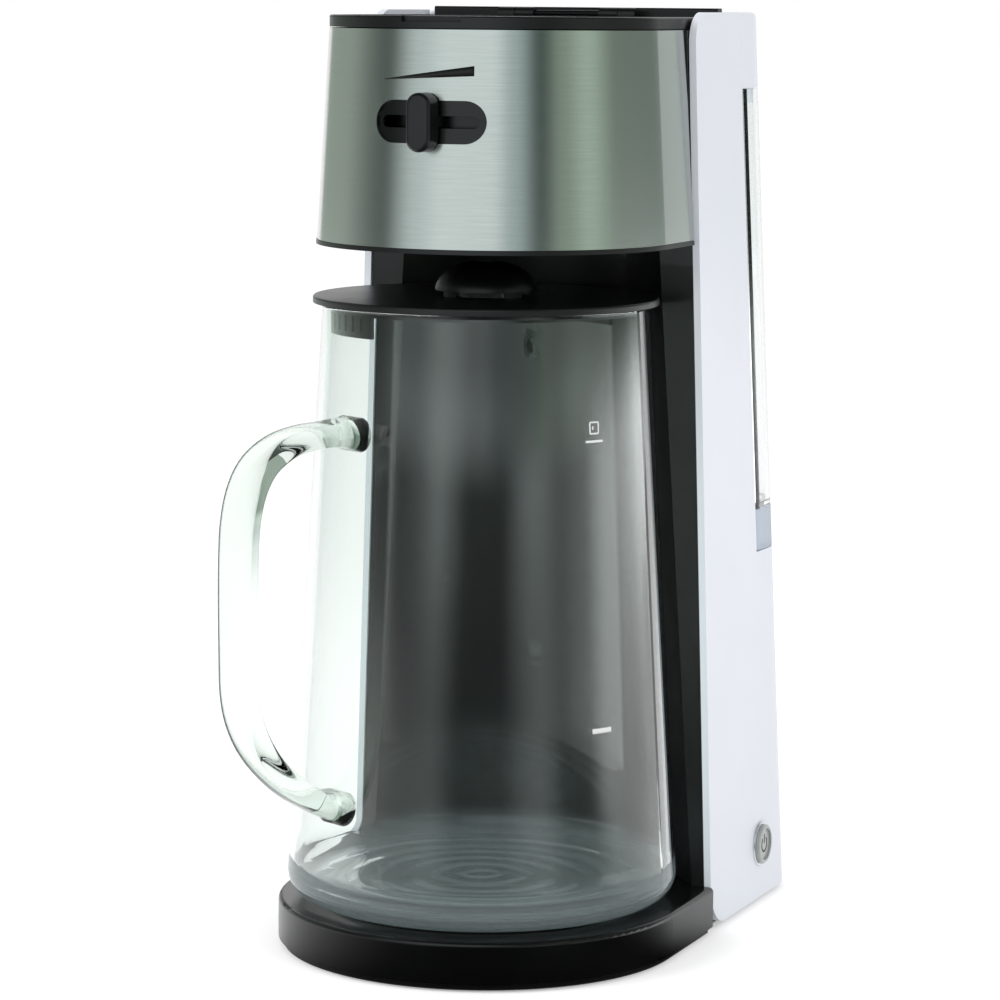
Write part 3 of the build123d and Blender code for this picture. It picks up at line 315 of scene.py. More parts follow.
@dataclass(frozen=True)
class ClearMaterial:
    """Glass or clear plastic that light goes through."""

    name: str
    colour: str
    ior: float
    roughness: float
    ripple_mm: float
    ripple_depth_mm: float
    ripple_strength: float = 0.2
    # Height that a pressed foot with its rings and its milk ends at
    foot_top_mm: float = 0.0
    # Rings left by the mould: spacing, depth, how far they wander, and where in the foot they are whole
    ring_mm: float = 0.0
    ring_depth_mm: float = 0.0
    ring_distortion: float = 1.0
    ring_detail: float = 2.0
    ring_detail_scale: float = 1.5
    ring_whole: float = 0.8
    # Faint milk in the foot, its share there, and where in the foot it is whole
    milk: str = "#FFFFFF"
    milk_share: float = 0.0
    milk_whole: float = 0.65

    def rings(self, tree: bpy.types.NodeTree, below: bpy.types.NodeSocket) -> bpy.types.NodeSocket:
        """Adds the mould's rings round the jug's axis to a surface.

        Args:
            tree: The node tree.
            below: The surface direction so far.

        Returns:
            The surface direction with the rings in it.
        """
        place = add(tree, "ShaderNodeTexCoord")
        middle = add(tree, "ShaderNodeMapping", {"Location": (0.0, -JUG_AXIS_Y_MM * MM, 0.0)},
                     {"Vector": place.outputs["Object"]})
        wave = add(tree, "ShaderNodeTexWave",
                   {"wave_type": "RINGS", "rings_direction": "Z", "Scale": WAVE_LENGTH / (self.ring_mm * MM),
                    "Distortion": self.ring_distortion, "Detail": self.ring_detail,
                    "Detail Scale": self.ring_detail_scale}, {"Vector": middle.outputs[0]})
        share = remap(tree, position(tree).outputs[UP],
                      (self.foot_top_mm * MM, self.foot_top_mm * self.ring_whole * MM))
        height = calc(tree, "MULTIPLY", wave.outputs["Fac"], share)
        bump = add(tree, "ShaderNodeBump", {"Strength": 1.0, "Distance": self.ring_depth_mm * MM},
                   {"Height": height, "Normal": below})
        return bump.outputs[0]

    def make(self) -> bpy.types.Material:
        """Builds the material.

        Returns:
            The material.
        """
        material, tree = blank(self.name)
        # A faint slow ripple from the mould bends the reflections a little, as on real blown or moulded walls
        bump = add(tree, "ShaderNodeBump",
                   {"Strength": self.ripple_strength, "Distance": self.ripple_depth_mm * MM},
                   {"Height": spots(tree, self.ripple_mm)})
        shader = add(tree, "ShaderNodeBsdfPrincipled",
                     {"Base Color": linear(self.colour), "IOR": self.ior, "Roughness": self.roughness,
                      "Transmission Weight": 1.0},
                     {"Normal": self.rings(tree, bump.outputs[0]) if self.ring_depth_mm else bump.outputs[0]})
        # Light that falls through the wall still reaches what stands behind it
        path = add(tree, "ShaderNodeLightPath")
        passing = calc(tree, "MAXIMUM", path.outputs["Is Shadow Ray"], path.outputs["Is Diffuse Ray"])
        open_air = add(tree, "ShaderNodeBsdfTransparent", {"Color": linear(self.colour)})
        wall = add(tree, "ShaderNodeMixShader", None,
                   {0: passing, 1: shader.outputs[0], 2: open_air.outputs[0]})
        if self.milk_share:
            foot = remap(tree, position(tree).outputs[UP],
                         (self.foot_top_mm * MM, self.foot_top_mm * self.milk_whole * MM),
                         (0.0, self.milk_share), smooth=True)
            cloud = add(tree, "ShaderNodeBsdfDiffuse", {"Color": linear(self.milk)})
            wall = add(tree, "ShaderNodeMixShader", None,
                       {0: foot, 1: wall.outputs[0], 2: cloud.outputs[0]})
        add(tree, "ShaderNodeOutputMaterial", None, {"Surface": wall.outputs[0]})
        return material


class Look(Enum):
    """The finishes of the machine, each named for its material and how it was made."""

    # Cool white housing: satin, with a fine spark-eroded grain
    WHITE_ABS = MouldedPlastic("white_abs_satin_moulded", "#EDF0F7", "#E6EAF3", 0.34, 0.5, 0.01)
    # Deep black that mirrors the room softly, on the base and round the slider
    BLACK_GLOSS = MouldedPlastic("black_abs_gloss_moulded", "#050506", "#070708", 0.24, 3.0, 0.006)
    # Black of the column: softer than the base, so the bright cloth blends to a haze behind the jug
    BLACK_HAZE = MouldedPlastic("black_abs_semi_gloss_moulded", "#08080A", "#0B0B0D", 0.34, 2.0, 0.006, 0.3)
    # Charcoal black with a fine grain that spreads the light
    BLACK_SATIN = MouldedPlastic("black_pp_satin_moulded", "#0B0B0D", "#0F0F11", 0.34, 0.45, 0.02)
    # Silver lacquer over a moulding: bright at a grazing angle
    SILVER_LACQUER = MouldedPlastic("silver_lacquered_abs", "#A9AEAC", "#9DA29F", 0.3, 0.4, 0.01, 0.4)
    # Sheet brushed along its length; real lines are 0.1 mm apart, drawn coarser so that they show
    STEEL = WorkedMetal("brushed_stainless_steel", "#D6D9D7", "#C8CBC7", 0.2, 0.45, 16.0, 0.006, 0.55)
    # Spring steel with a blackened surface, as on a hidden hinge pin
    DARK_STEEL = WorkedMetal("blackened_spring_steel", "#303132", "#28292A", 0.4, 0.5, 3.0, 0.003, 0.2)
    # Fine woven filter wire
    WIRE = WorkedMetal("woven_stainless_wire", "#AEB0AE", "#8F918F", 0.4, 0.3, 0.6, 0.02, 0.0)
    # Mirror-bright plating, on the button's ring and the screws
    CHROME = WorkedMetal("chromed_abs_plated", "#DADCDF", "#CED0D4", 0.14, 0.6, 6.0, 0.002, 0.2)
    # Plain bright cast and drawn aluminium of the heater
    ALLOY = WorkedMetal("aluminium_cast_bright", "#B9BBBE", "#A9ABAE", 0.38, 0.8, 4.0, 0.01, 0.2)
    # Blown borosilicate: clear, with a faint green at its edges
    GLASS = ClearMaterial("borosilicate_glass_blown", "#F8FCFA", 1.47, 0.0, 30.0, 0.02, foot_top_mm=40.0,
                          ring_mm=11.0, ring_depth_mm=0.3, milk="#C3CED3", milk_share=0.14)
    # Drawn glass of the handle: pale green, and bends light less, so it doesn't fold the dark cloth into itself
    STRAP_GLASS = ClearMaterial("borosilicate_glass_drawn", "#EDF5EF", 1.17, 0.0, 30.0, 0.02)
    # Clear styrene tank wall with the slight haze of a moulding
    CLEAR_TANK = ClearMaterial("clear_san_moulded", "#F8FAFA", 1.57, 0.04, 20.0, 0.02)
    # The same plastic from an etched tool: milky over its whole height
    FROSTED = ClearMaterial("frosted_san_moulded", "#F4F7FA", 1.3, 0.5, 1.0, 0.03,
                            foot_top_mm=600.0, milk="#DDE6F2", milk_share=0.6)
    # Soft feet and seal: matt black
    RUBBER = MouldedPlastic("black_tpe_moulded", "#141415", "#19191A", 0.75, 0.6, 0.04)
    # Milky tube wall
    SILICONE = MouldedPlastic("milky_silicone_extruded", "#D9DAD6", "#CFD0CC", 0.45, 2.0, 0.02)
    # Lacquered circuit board
    BOARD = MouldedPlastic("green_fr4_board_lacquered", "#1F5B3A", "#1B5134", 0.35, 2.0, 0.01)
    # Screen-printed ink on the steel, a little duller than the band
    BLACK_INK = MouldedPlastic("black_ink_screen_printed", "#0B0B0C", "#0E0E0F", 0.5, 0.3, 0.004)
    # Fired enamel marks on the glass
    WHITE_ENAMEL = MouldedPlastic("white_enamel_fired", "#F4F5F5", "#ECEEEE", 0.4, 0.3, 0.004)


class Bench:
    """Keeps the finishes already made, and makes pieces that lie on the CAD model's own surfaces."""

    def __init__(self) -> None:
        """Starts with no finish made."""
        self.made: Dict[Look, bpy.types.Material] = {}
        self.skins: Dict[str, BVHTree] = {}

    def material(self, look: Look) -> bpy.types.Material:
        """Gives a finish, and makes it the first time.

        Args:
            look: The finish.

        Returns:
            Its material.
        """
        if look not in self.made:
            self.made[look] = look.value.make()
        return self.made[look]

    def dress(self, look: Look, names: Sequence[str]) -> None:
        """Gives CAD nodes a finish.

        Args:
            look: Their finish.
            names: The nodes.
        """
        for name in names:
            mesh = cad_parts[name].data
            mesh.materials.clear()
            mesh.materials.append(self.material(look))
            log.info("%s is dressed in %s", name, self.material(look).name)

    def skin(self, node: str) -> BVHTree:
        """Gives the search tree of a CAD node's surface.

        Args:
            node: The node.

        Returns:
            A tree that finds where a line meets it.
        """
        if node not in self.skins:
            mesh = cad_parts[node].data
            corners = [vertex.co.copy() for vertex in mesh.vertices]
            self.skins[node] = BVHTree.FromPolygons(corners, [tuple(face.vertices) for face in mesh.polygons])
        return self.skins[node]

    def meet(self, node: str, start: Vector, way: Vector) -> Tuple[Vector, Vector]:
        """Finds where a line from outside meets a node.

        Args:
            node: The node.
            start: A point outside it.
            way: The line's direction.

        Returns:
            The point on the surface, and the direction out of it.
        """
        place, normal, _, _ = self.skin(node).ray_cast(start, way)
        if place is None:
            raise ValueError(f"the line at {tuple(start)} misses {node}")
        return place, -way.normalized() if normal.dot(way) > 0 else normal

    def piece(self, name: str, shape: Shape, look: Look, body: str) -> bpy.types.Object:
        """Adds a mesh piece that rides on a body.

        Args:
            name: The piece's name.
            shape: Its corners and faces.
            look: Its finish.
            body: The body that carries it.

        Returns:
            The new object.
        """
        mesh = bpy.data.meshes.new(name)
        solid = bmesh.new()
        corners = [solid.verts.new(corner) for corner in shape[0]]
        for face in shape[1]:
            solid.faces.new([corners[number] for number in face])
        # Light bends the right way through a clear piece only where every face looks outwards
        bmesh.ops.recalc_face_normals(solid, faces=solid.faces)
        solid.to_mesh(mesh)
        solid.free()
        mesh.materials.append(self.material(look))
        mesh.shade_smooth()
        made = placed(name, mesh)
        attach(made, body)
        log.info("%s is made and rides on %s", name, body)
        return made


@dataclass(frozen=True)
class Film:
    """Thin printed or fired layer that follows the surface below it."""

    project: Projector
    proud_mm: float = 0.06
    sunk_mm: float = 0.02
    step_mm: float = 1.0

    def band(self, upper: Sequence[Flat], lower: Sequence[Flat]) -> Shape:
        """Builds a closed strip between two edges.

        Args:
            upper: Points along one edge, in the surface's own two coordinates.
            lower: As many points along the other edge.

        Returns:
            Corners and faces.
        """
        corners: List[Vector] = []
        for pair in zip(upper, lower):
            for along, height in pair:
                place, out = self.project(along, height)
                corners += [place + out * self.proud_mm * MM, place - out * self.sunk_mm * MM]
        # Each place along the strip has four corners: proud and sunk on the upper edge, then on the lower
        faces: List[List[int]] = []
        for number in range(len(upper) - 1):
            a, b = 4 * number, 4 * number + 4
            for low, high in ((0, 2), (2, 3), (3, 1), (1, 0)):
                faces.append([a + low, a + high, b + high, b + low])
        last = 4 * (len(upper) - 1)
        faces += [[0, 1, 3, 2], [last, last + 2, last + 3, last + 1]]
        return corners, faces

    def stroke(self, start: Flat, end: Flat, width_mm: float) -> Shape:
        """Builds one straight stroke.

        Args:
            start: First point, in the surface's own two coordinates.
            end: Last point.
            width_mm: Width of the stroke.

        Returns:
            Corners and faces.
        """
        across, up = end[0] - start[0], end[1] - start[1]
        length = hypot(across, up)
        side = (-up / length * width_mm / 2, across / length * width_mm / 2)
        count = max(2, int(length / self.step_mm) + 1)
        middle = [(start[0] + across * n / (count - 1), start[1] + up * n / (count - 1))
                  for n in range(count)]
        upper = [(x + side[0], z + side[1]) for x, z in middle]
        lower = [(x - side[0], z - side[1]) for x, z in middle]
        return self.band(upper, lower)


def joined(shapes: Sequence[Shape]) -> Shape:
    """Puts several closed shapes in one mesh.

    Args:
        shapes: Corners and faces of each.

    Returns:
        All corners and all faces.
    """
    corners: List[Vector] = []
    faces: List[List[int]] = []
    for points, sides in shapes:
        faces += [[corner + len(corners) for corner in side] for side in sides]
        corners += points
    return corners, faces


def smooth_line(points: Sequence[Vector], steps: int) -> List[Vector]:
    """Draws one smooth line through points.

    Args:
        points: The points that it passes.
        steps: Pieces between two points.

    Returns:
        Points along the line.
    """
    # Catmull-Rom curve, led in and out by a point mirrored past each end
    ends = [points[0] * 2 - points[1], *points, points[-1] * 2 - points[-2]]
    line: List[Vector] = []
    for a, b, c, d in zip(ends, ends[1:], ends[2:], ends[3:]):
        for number in range(steps):
            t = number / steps
            line.append((b * 2 + (c - a) * t + (a * 2 - b * 5 + c * 4 - d) * t ** 2
                         + (b * 3 - a - c * 3 + d) * t ** 3) / 2)
    return line + [points[-1]]


def stadium(width: float, height: float, sides: int) -> List[Flat]:
    """Gives the outline of a flat strap with round edges.

    Args:
        width: Size across.
        height: Thickness.
        sides: Number of points.

    Returns:
        Points in order round the outline.
    """
    outline: List[Flat] = []
    for number in range(sides):
        turn = 2 * pi * (number + 0.5) / sides
        straight = (width - height) / 2 * (1 if cos(turn) > 0 else -1)
        outline.append((straight + height / 2 * cos(turn), height / 2 * sin(turn)))
    return outline


@dataclass
class SubAssembly:
    """A group of CAD nodes and the pieces that finish them."""

    title: str
    nodes: Dict[Look, Tuple[str, ...]]

    def details(self, bench: Bench) -> None:
        """Adds the group's own small pieces; most groups have none.

        Args:
            bench: The bench that makes them.
        """

    def build(self, bench: Bench) -> None:
        """Dresses the group's nodes and adds its pieces.

        Args:
            bench: The bench that makes them.
        """
        for look, names in self.nodes.items():
            bench.dress(look, names)
        self.details(bench)
        log.info("the %s is done", self.title)


@dataclass
class Housing(SubAssembly):
    """White side panels and back cover."""

    title: str = "housing"
    nodes: Dict[Look, Tuple[str, ...]] = field(default_factory=lambda: {
        Look.WHITE_ABS: ("side_panel_right", "side_panel_left", "rear_cover"),
        Look.BLACK_SATIN: ("cord_gland",),
    })


@dataclass
class Foot(SubAssembly):
    """Round-fronted base with its plate, feet and screws."""

    title: str = "base"
    nodes: Dict[Look, Tuple[str, ...]] = field(default_factory=lambda: {
        Look.BLACK_GLOSS: ("base_housing",),
        Look.BLACK_SATIN: ("base_plate",),
        Look.RUBBER: ("foot_1", "foot_2", "foot_3", "foot_4"),
        Look.CHROME: ("base_screw_1", "base_screw_2", "base_screw_3", "base_screw_4"),
    })


@dataclass
class Column(SubAssembly):
    """Hollow-fronted column behind the jug, with the water works inside it."""

    title: str = "column"
    nodes: Dict[Look, Tuple[str, ...]] = field(default_factory=lambda: {
        Look.BLACK_HAZE: ("column", "head_mount"),
        Look.BLACK_SATIN: ("column_duct", "tank_shelf", "switch_body"),
        Look.ALLOY: ("heater_element", "heater_water_tube", "heater_cradle", "thermostat"),
        Look.SILICONE: ("feed_hose_top", "feed_hose", "riser_hose", "check_valve"),
        Look.BOARD: ("control_board",),
    })


@dataclass
class Head(SubAssembly):
    """Brewing head: steel band with the strength slider and its printed wedge, lid and basket."""

    title: str = "head"
    nodes: Dict[Look, Tuple[str, ...]] = field(default_factory=lambda: {
        Look.STEEL: ("steel_band",),
        Look.BLACK_GLOSS: ("slider_track", "slider_shutter"),
        Look.BLACK_SATIN: ("head_drum", "slider_knob", "rear_deck", "lid_frame", "shower_head",
                           "brew_basket", "drip_stop", "filter_frame", "filter_floor"),
        Look.SILVER_LACQUER: ("lid_insert",),
        Look.WIRE: ("filter_mesh",),
        Look.DARK_STEEL: ("hinge_pin",),
    })
    axis_y_mm: float = 10.1
    far_mm: float = 200.0
    wedge_start_deg: float = -16.7
    wedge_end_deg: float = 15.3
    wedge_low_start_mm: float = 335.7
    wedge_high_start_mm: float = 335.95
    wedge_low_end_mm: float = 337.4
    wedge_high_end_mm: float = 341.1
    wedge_steps: int = 28

    def on_band(self, bench: Bench) -> Projector:
        """Gives the map from an angle round the head and a height to the band's surface.

        Args:
            bench: The bench with the band's surface.

        Returns:
            A function of degrees and millimetres.
        """
        def project(turn: float, height: float) -> Tuple[Vector, Vector]:
            """Finds the band's surface at an angle and a height."""
            way = Vector((-sin(radians(turn)), cos(radians(turn)), 0.0))
            middle = Vector((0.0, (self.axis_y_mm + JUG_AXIS_Y_MM) * MM, height * MM))
            return bench.meet("steel_band", middle - way * self.far_mm * MM, way)
        return project

    def details(self, bench: Bench) -> None:
        """Prints the strength wedge over the slot.

        Args:
            bench: The bench that makes it.
        """
        upper: List[Flat] = []
        lower: List[Flat] = []
        for number in range(self.wedge_steps + 1):
            share = number / self.wedge_steps
            turn = between(self.wedge_start_deg, self.wedge_end_deg, share)
            upper.append((turn, between(self.wedge_high_start_mm, self.wedge_high_end_mm, share)))
            lower.append((turn, between(self.wedge_low_start_mm, self.wedge_low_end_mm, share)))
        wedge = Film(self.on_band(bench)).band(upper, lower)
        bench.piece("strength_wedge_print", wedge, Look.BLACK_INK, "machine")


@dataclass
class Jug(SubAssembly):
    """Blown glass jug with its handle and the two fired level marks."""

    title: str = "jug"
    nodes: Dict[Look, Tuple[str, ...]] = field(default_factory=lambda: {
        Look.GLASS: ("jug_glass", "jug_handle"),
    })
    far_mm: float = 120.0
    mark_turn_deg: float = 61.5
    mark_length_mm: float = 8.6
    ice_line_mm: float = 203.2
    ice_line_width_mm: float = 0.9
    low_line_mm: float = 95.2
    low_line_width_mm: float = 1.9
    cube_middle_mm: float = 208.2
    cube_half_mm: float = 2.1
    cube_stroke_mm: float = 0.6
    reach_mm: float = 68.0
    handle_turn_deg: float = 27.0
    # Middle line of the strap: reach from the jug's axis and height
    handle_line: Tuple[Flat, ...] = (
        (64.6, 204.2), (75.0, 204.8), (86.6, 204.2), (98.1, 201.4), (107.5, 195.4), (113.2, 186.4),
        (116.1, 175.0), (117.0, 162.0), (117.2, 146.0), (117.0, 128.0), (116.5, 111.0), (114.0, 99.6),
        (108.6, 89.1), (100.3, 79.6), (90.6, 71.7), (80.5, 66.1), (70.6, 62.9))
    strap_width_mm: float = 19.5
    strap_thickness_mm: float = 8.5
    joint_width_mm: float = 23.0
    joint_thickness_mm: float = 13.0
    joint_length_mm: float = 15.0
    strap_rings: int = 6
    strap_sides: int = 32

    def on_glass(self, bench: Bench) -> Projector:
        """Gives the map from a distance round the jug and a height to the glass.

        Args:
            bench: The bench with the glass's surface.

        Returns:
            A function of millimetres round the jug from the marks' middle, and millimetres up.
        """
        def project(along: float, height: float) -> Tuple[Vector, Vector]:
            """Finds the outer face of the glass."""
            turn = radians(self.mark_turn_deg) + along / self.reach_mm
            way = Vector((-sin(turn), cos(turn), 0.0))
            middle = Vector((0.0, JUG_AXIS_Y_MM * MM, height * MM))
            return bench.meet("jug_glass", middle - way * self.far_mm * MM, way)
        return project

    def cube(self, film: Film) -> Shape:
        """Draws a plain ice cube in outline: a square with a short glint in one corner.

        Args:
            film: The enamel on the glass.

        Returns:
            Corners and faces.
        """
        half, middle, glint = self.cube_half_mm, self.cube_middle_mm, self.cube_half_mm / 3
        ring = [(-half, middle - half), (half, middle - half), (half, middle + half), (-half, middle + half)]
        strokes = list(zip(ring, ring[1:] + ring[:1]))
        strokes.append(((-glint, middle + glint), (-glint, middle - glint)))
        return joined([film.stroke(start, end, self.cube_stroke_mm) for start, end in strokes])

    def handle(self, bench: Bench) -> None:
        """Draws the strap handle on one smooth line, thicker where it is melted onto the jug.

        Args:
            bench: The bench that makes it.
        """
        turn = radians(self.handle_turn_deg)
        outward, across = Vector((-sin(turn), -cos(turn), 0.0)), Vector((cos(turn), -sin(turn), 0.0))
        axis = Vector((0.0, JUG_AXIS_Y_MM, 0.0))
        line = smooth_line([axis + outward * reach + Vector((0, 0, up)) for reach, up in self.handle_line],
                           self.strap_rings)
        gone = [0.0]
        for before, after in zip(line, line[1:]):
            gone.append(gone[-1] + (after - before).length)
        corners: List[Vector] = []
        for number, middle in enumerate(line):
            ahead = (line[min(number + 1, len(line) - 1)] - line[max(number - 1, 0)]).normalized()
            edge = min(gone[number], gone[-1] - gone[number]) / self.joint_length_mm
            share = max(0.0, 1 - edge) ** 2
            wide = between(self.strap_width_mm, self.joint_width_mm, share)
            thick = between(self.strap_thickness_mm, self.joint_thickness_mm, share)
            out = across.cross(ahead)
            for x, y in stadium(wide, thick, self.strap_sides):
                corners.append((middle + across * x + out * y) * MM)
        sides, rings = self.strap_sides, len(line)
        faces = [[ring * sides + side, ring * sides + (side + 1) % sides,
                  (ring + 1) * sides + (side + 1) % sides, (ring + 1) * sides + side]
                 for ring in range(rings - 1) for side in range(sides)]
        faces += [list(range(sides))[::-1], [(rings - 1) * sides + side for side in range(sides)]]
        made = bench.piece("jug_handle_glass", (corners, faces), Look.STRAP_GLASS, "jug")
        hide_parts("jug_handle")

    def details(self, bench: Bench) -> None:
        """Melts the handle on and fires the level marks onto the glass.

        Args:
            bench: The bench that makes them.
        """
        self.handle(bench)
        film = Film(self.on_glass(bench))
        half = self.mark_length_mm / 2
        ice = film.stroke((-half, self.ice_line_mm), (half, self.ice_line_mm), self.ice_line_width_mm)
        low = film.stroke((-half, self.low_line_mm), (half, self.low_line_mm), self.low_line_width_mm)
        for name, shape in (("ice_level_mark", joined([ice, self.cube(film)])), ("low_level_mark", low)):
            bench.piece(name, shape, Look.WHITE_ENAMEL, "jug")


@dataclass
class JugLid(SubAssembly):
    """Turning lid of the jug with its pouring dome."""

    title: str = "jug lid"
    nodes: Dict[Look, Tuple[str, ...]] = field(default_factory=lambda: {
        Look.BLACK_SATIN: ("jug_lid", "jug_lid_dome"),
    })


@dataclass
class Tank(SubAssembly):
    """Lift-off water tank with its frosted foot band, cap and valve."""

    title: str = "water tank"
    nodes: Dict[Look, Tuple[str, ...]] = field(default_factory=lambda: {
        Look.WHITE_ABS: ("tank_cap",),
        Look.CLEAR_TANK: ("tank_body", "tank_base"),
        Look.FROSTED: ("tank_foot", "valve_collar"),
        Look.RUBBER: ("valve_seal",),
        Look.BLACK_SATIN: ("valve_plunger",),
    })


@dataclass
class PowerButton(SubAssembly):
    """Plated push button in the right panel, with the common power sign printed in black ink on its cap."""

    title: str = "power button"
    nodes: Dict[Look, Tuple[str, ...]] = field(default_factory=lambda: {
        Look.CHROME: ("button_bezel",),
        Look.SILVER_LACQUER: ("button_cap",),
    })
    sign_radius_mm: float = 3.0
    sign_gap_deg: float = 38.0
    sign_stroke_mm: float = 0.8
    bar_low_mm: float = 0.4
    bar_high_mm: float = 4.0
    far_mm: float = 40.0
    arc_steps: int = 28

    def on_cap(self, bench: Bench) -> Projector:
        """Gives the map from a place on the cap's face to its surface.

        Args:
            bench: The bench with the cap's surface.

        Returns:
            A function of millimetres back from the cap's middle, and millimetres up from it.
        """
        low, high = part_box("button_cap")
        middle = Vector([(a + b) / 2 for a, b in zip(low, high)])

        def project(back: float, up: float) -> Tuple[Vector, Vector]:
            """Finds the face of the cap."""
            start = middle + Vector((self.far_mm, back, up)) * MM
            return bench.meet("button_cap", start, Vector((-1.0, 0.0, 0.0)))
        return project

    def details(self, bench: Bench) -> None:
        """Draws the sign: an open ring with a bar in its gap.

        Args:
            bench: The bench that makes it.
        """
        film = Film(self.on_cap(bench), proud_mm=0.05, step_mm=0.6)
        edges: List[List[Flat]] = [[], []]
        for number in range(self.arc_steps + 1):
            turn = radians(self.sign_gap_deg + (360 - 2 * self.sign_gap_deg) * number / self.arc_steps)
            for edge, side in zip(edges, (0.5, -0.5)):
                reach = self.sign_radius_mm + side * self.sign_stroke_mm
                edge.append((reach * sin(turn), reach * cos(turn)))
        bar = film.stroke((0.0, self.bar_low_mm), (0.0, self.bar_high_mm), self.sign_stroke_mm)
        sign = joined([film.band(edges[0], edges[1]), bar])
        bench.piece("power_sign", sign, Look.BLACK_INK, "power_button")


@dataclass(frozen=True)
class Surround:
    """Cloth round, under or over the set, outside the view, which only glossy and clear surfaces see."""

    name: str
    # Angle from the front towards the power button's side, and the cloth's colour there
    high: Tones
    high_strength: float
    low: Tones
    low_strength: float
    # The cloth's section: distance from the machine and height in metres, and the angles that it ends at there
    section: Tuple[Tuple[float, float, float, float], ...]
    # Heights between which the low tones turn into the high ones
    turn_low: float = 0.17
    turn_high: float = 0.25
    # Distances over which the cloth brightens out of its painted shade round the machine, and its share of
    # light at the first
    dark_reach: float = 0.1
    bright_reach: float = 0.7
    dark_share: float = 0.03
    # Middle of the cloth, and how far from it the cloth thins out near the floor, in degrees
    middle: float = 35.0
    thin_from: float = 40.0
    thin_to: float = 100.0
    steps: int = 64

    def tone(self, tree: bpy.types.NodeTree, share: bpy.types.NodeSocket, tones: Tones) -> bpy.types.NodeSocket:
        """Gives the cloth's colour at its place round the set.

        Args:
            tree: The node tree.
            share: The place, from none behind on the left to one behind on the right.
            tones: The colours by angle.

        Returns:
            The colour socket.
        """
        ramp = add(tree, "ShaderNodeValToRGB", None, {0: share})
        ramp.color_ramp.interpolation = "EASE"
        stops = ramp.color_ramp.elements
        for number, (angle, colour) in enumerate(tones):
            stop = stops[number] if number < len(stops) else stops.new(1.0)
            stop.position = (angle + 180) / 360
            stop.color = linear(colour)
        return ramp.outputs[0]

    def glow(self, tree: bpy.types.NodeTree, up: bpy.types.NodeSocket, turn: bpy.types.NodeSocket,
             reach: bpy.types.NodeSocket) -> bpy.types.NodeSocket:
        """Gives the cloth's own light, darker close to the machine.

        Args:
            tree: The node tree.
            up: The height.
            turn: The angle round the set.
            reach: The distance from the machine's middle.

        Returns:
            The shader's socket.
        """
        share = remap(tree, turn, (-pi, pi))
        rise = remap(tree, up, (self.turn_low, self.turn_high), smooth=True)
        colour = add(tree, "ShaderNodeMix", {"data_type": "RGBA"},
                     {0: rise, MIX_A: self.tone(tree, share, self.low),
                      MIX_B: self.tone(tree, share, self.high)})
        level = remap(tree, rise, end=(self.low_strength, self.high_strength))
        # Painted shade: close to the machine the cloth's light fades, standing in for the machine's shade on
        # the floor that glossy and clear surfaces see
        near = remap(tree, reach, (self.dark_reach, self.bright_reach), (self.dark_share, 1.0), smooth=True)
        power = calc(tree, "MULTIPLY", level, near)
        return add(tree, "ShaderNodeEmission", None,
                   {"Color": colour.outputs[MIX_OUT], "Strength": power}).outputs[0]

    def cloth(self) -> bpy.types.Material:
        """Builds the cloth's material.

        Returns:
            The material.
        """
        material, tree = blank(self.name + "_cloth")
        across, back, up = position(tree).outputs
        turn = calc(tree, "ARCTAN2", across, calc(tree, "MULTIPLY", back, -1.0))
        square = calc(tree, "ADD", calc(tree, "POWER", across, 2.0), calc(tree, "POWER", back, 2.0))
        glow = self.glow(tree, up, turn, calc(tree, "SQRT", square))
        # Near the floor the cloth thins out towards its ends, so that no edge of it shows through the glass
        away = calc(tree, "ABSOLUTE", calc(tree, "SUBTRACT", turn, radians(self.middle)))
        thin = remap(tree, away, (radians(self.thin_from), radians(self.thin_to)), smooth=True)
        gone = calc(tree, "MULTIPLY", thin, remap(tree, up, (self.turn_low, 0.0), smooth=True))
        air = add(tree, "ShaderNodeBsdfTransparent")
        veil = add(tree, "ShaderNodeMixShader", None, {0: gone, 1: glow, 2: air.outputs[0]})
        add(tree, "ShaderNodeOutputMaterial", None, {"Surface": veil.outputs[0]})
        return material

    def raise_up(self) -> None:
        """Hangs the cloth, and hides it from the camera and from the light on matt surfaces."""
        rows = len(self.section)
        corners: List[Point] = []
        for number in range(self.steps + 1):
            for reach, height, first, last in self.section:
                turn = radians(between(first, last, number / self.steps))
                corners.append((reach * sin(turn), -reach * cos(turn), height))
        faces = [(n * rows + row, (n + 1) * rows + row, (n + 1) * rows + row + 1, n * rows + row + 1)
                 for n in range(self.steps) for row in range(rows - 1)]
        mesh = bpy.data.meshes.new(self.name)
        mesh.from_pydata(corners, [], faces)
        mesh.materials.append(self.cloth())
        cloth = placed(self.name, mesh)
        cloth.visible_camera = False
        cloth.visible_diffuse = False
        cloth.visible_shadow = False


@dataclass(frozen=True)
class SoftBox:
    """One soft lamp: its middle, the point that it faces, its width and height in metres, and its watts."""

    name: str
    place: Point
    aim: Point
    size: Flat
    watts: float

    def hang(self) -> None:
        """Adds the lamp."""
        data = bpy.data.lights.new(self.name, "AREA")
        data.shape = "RECTANGLE"
        data.size, data.size_y = self.size
        data.energy = self.watts
        lamp = placed(self.name, data)
        lamp.location = self.place
        lamp.rotation_euler = (Vector(self.aim) - Vector(self.place)).to_track_quat("-Z", "Y").to_euler()
        # The cloth round the set gives the mirrored shapes, so the lamps only light the matt surfaces
        lamp.visible_glossy = False


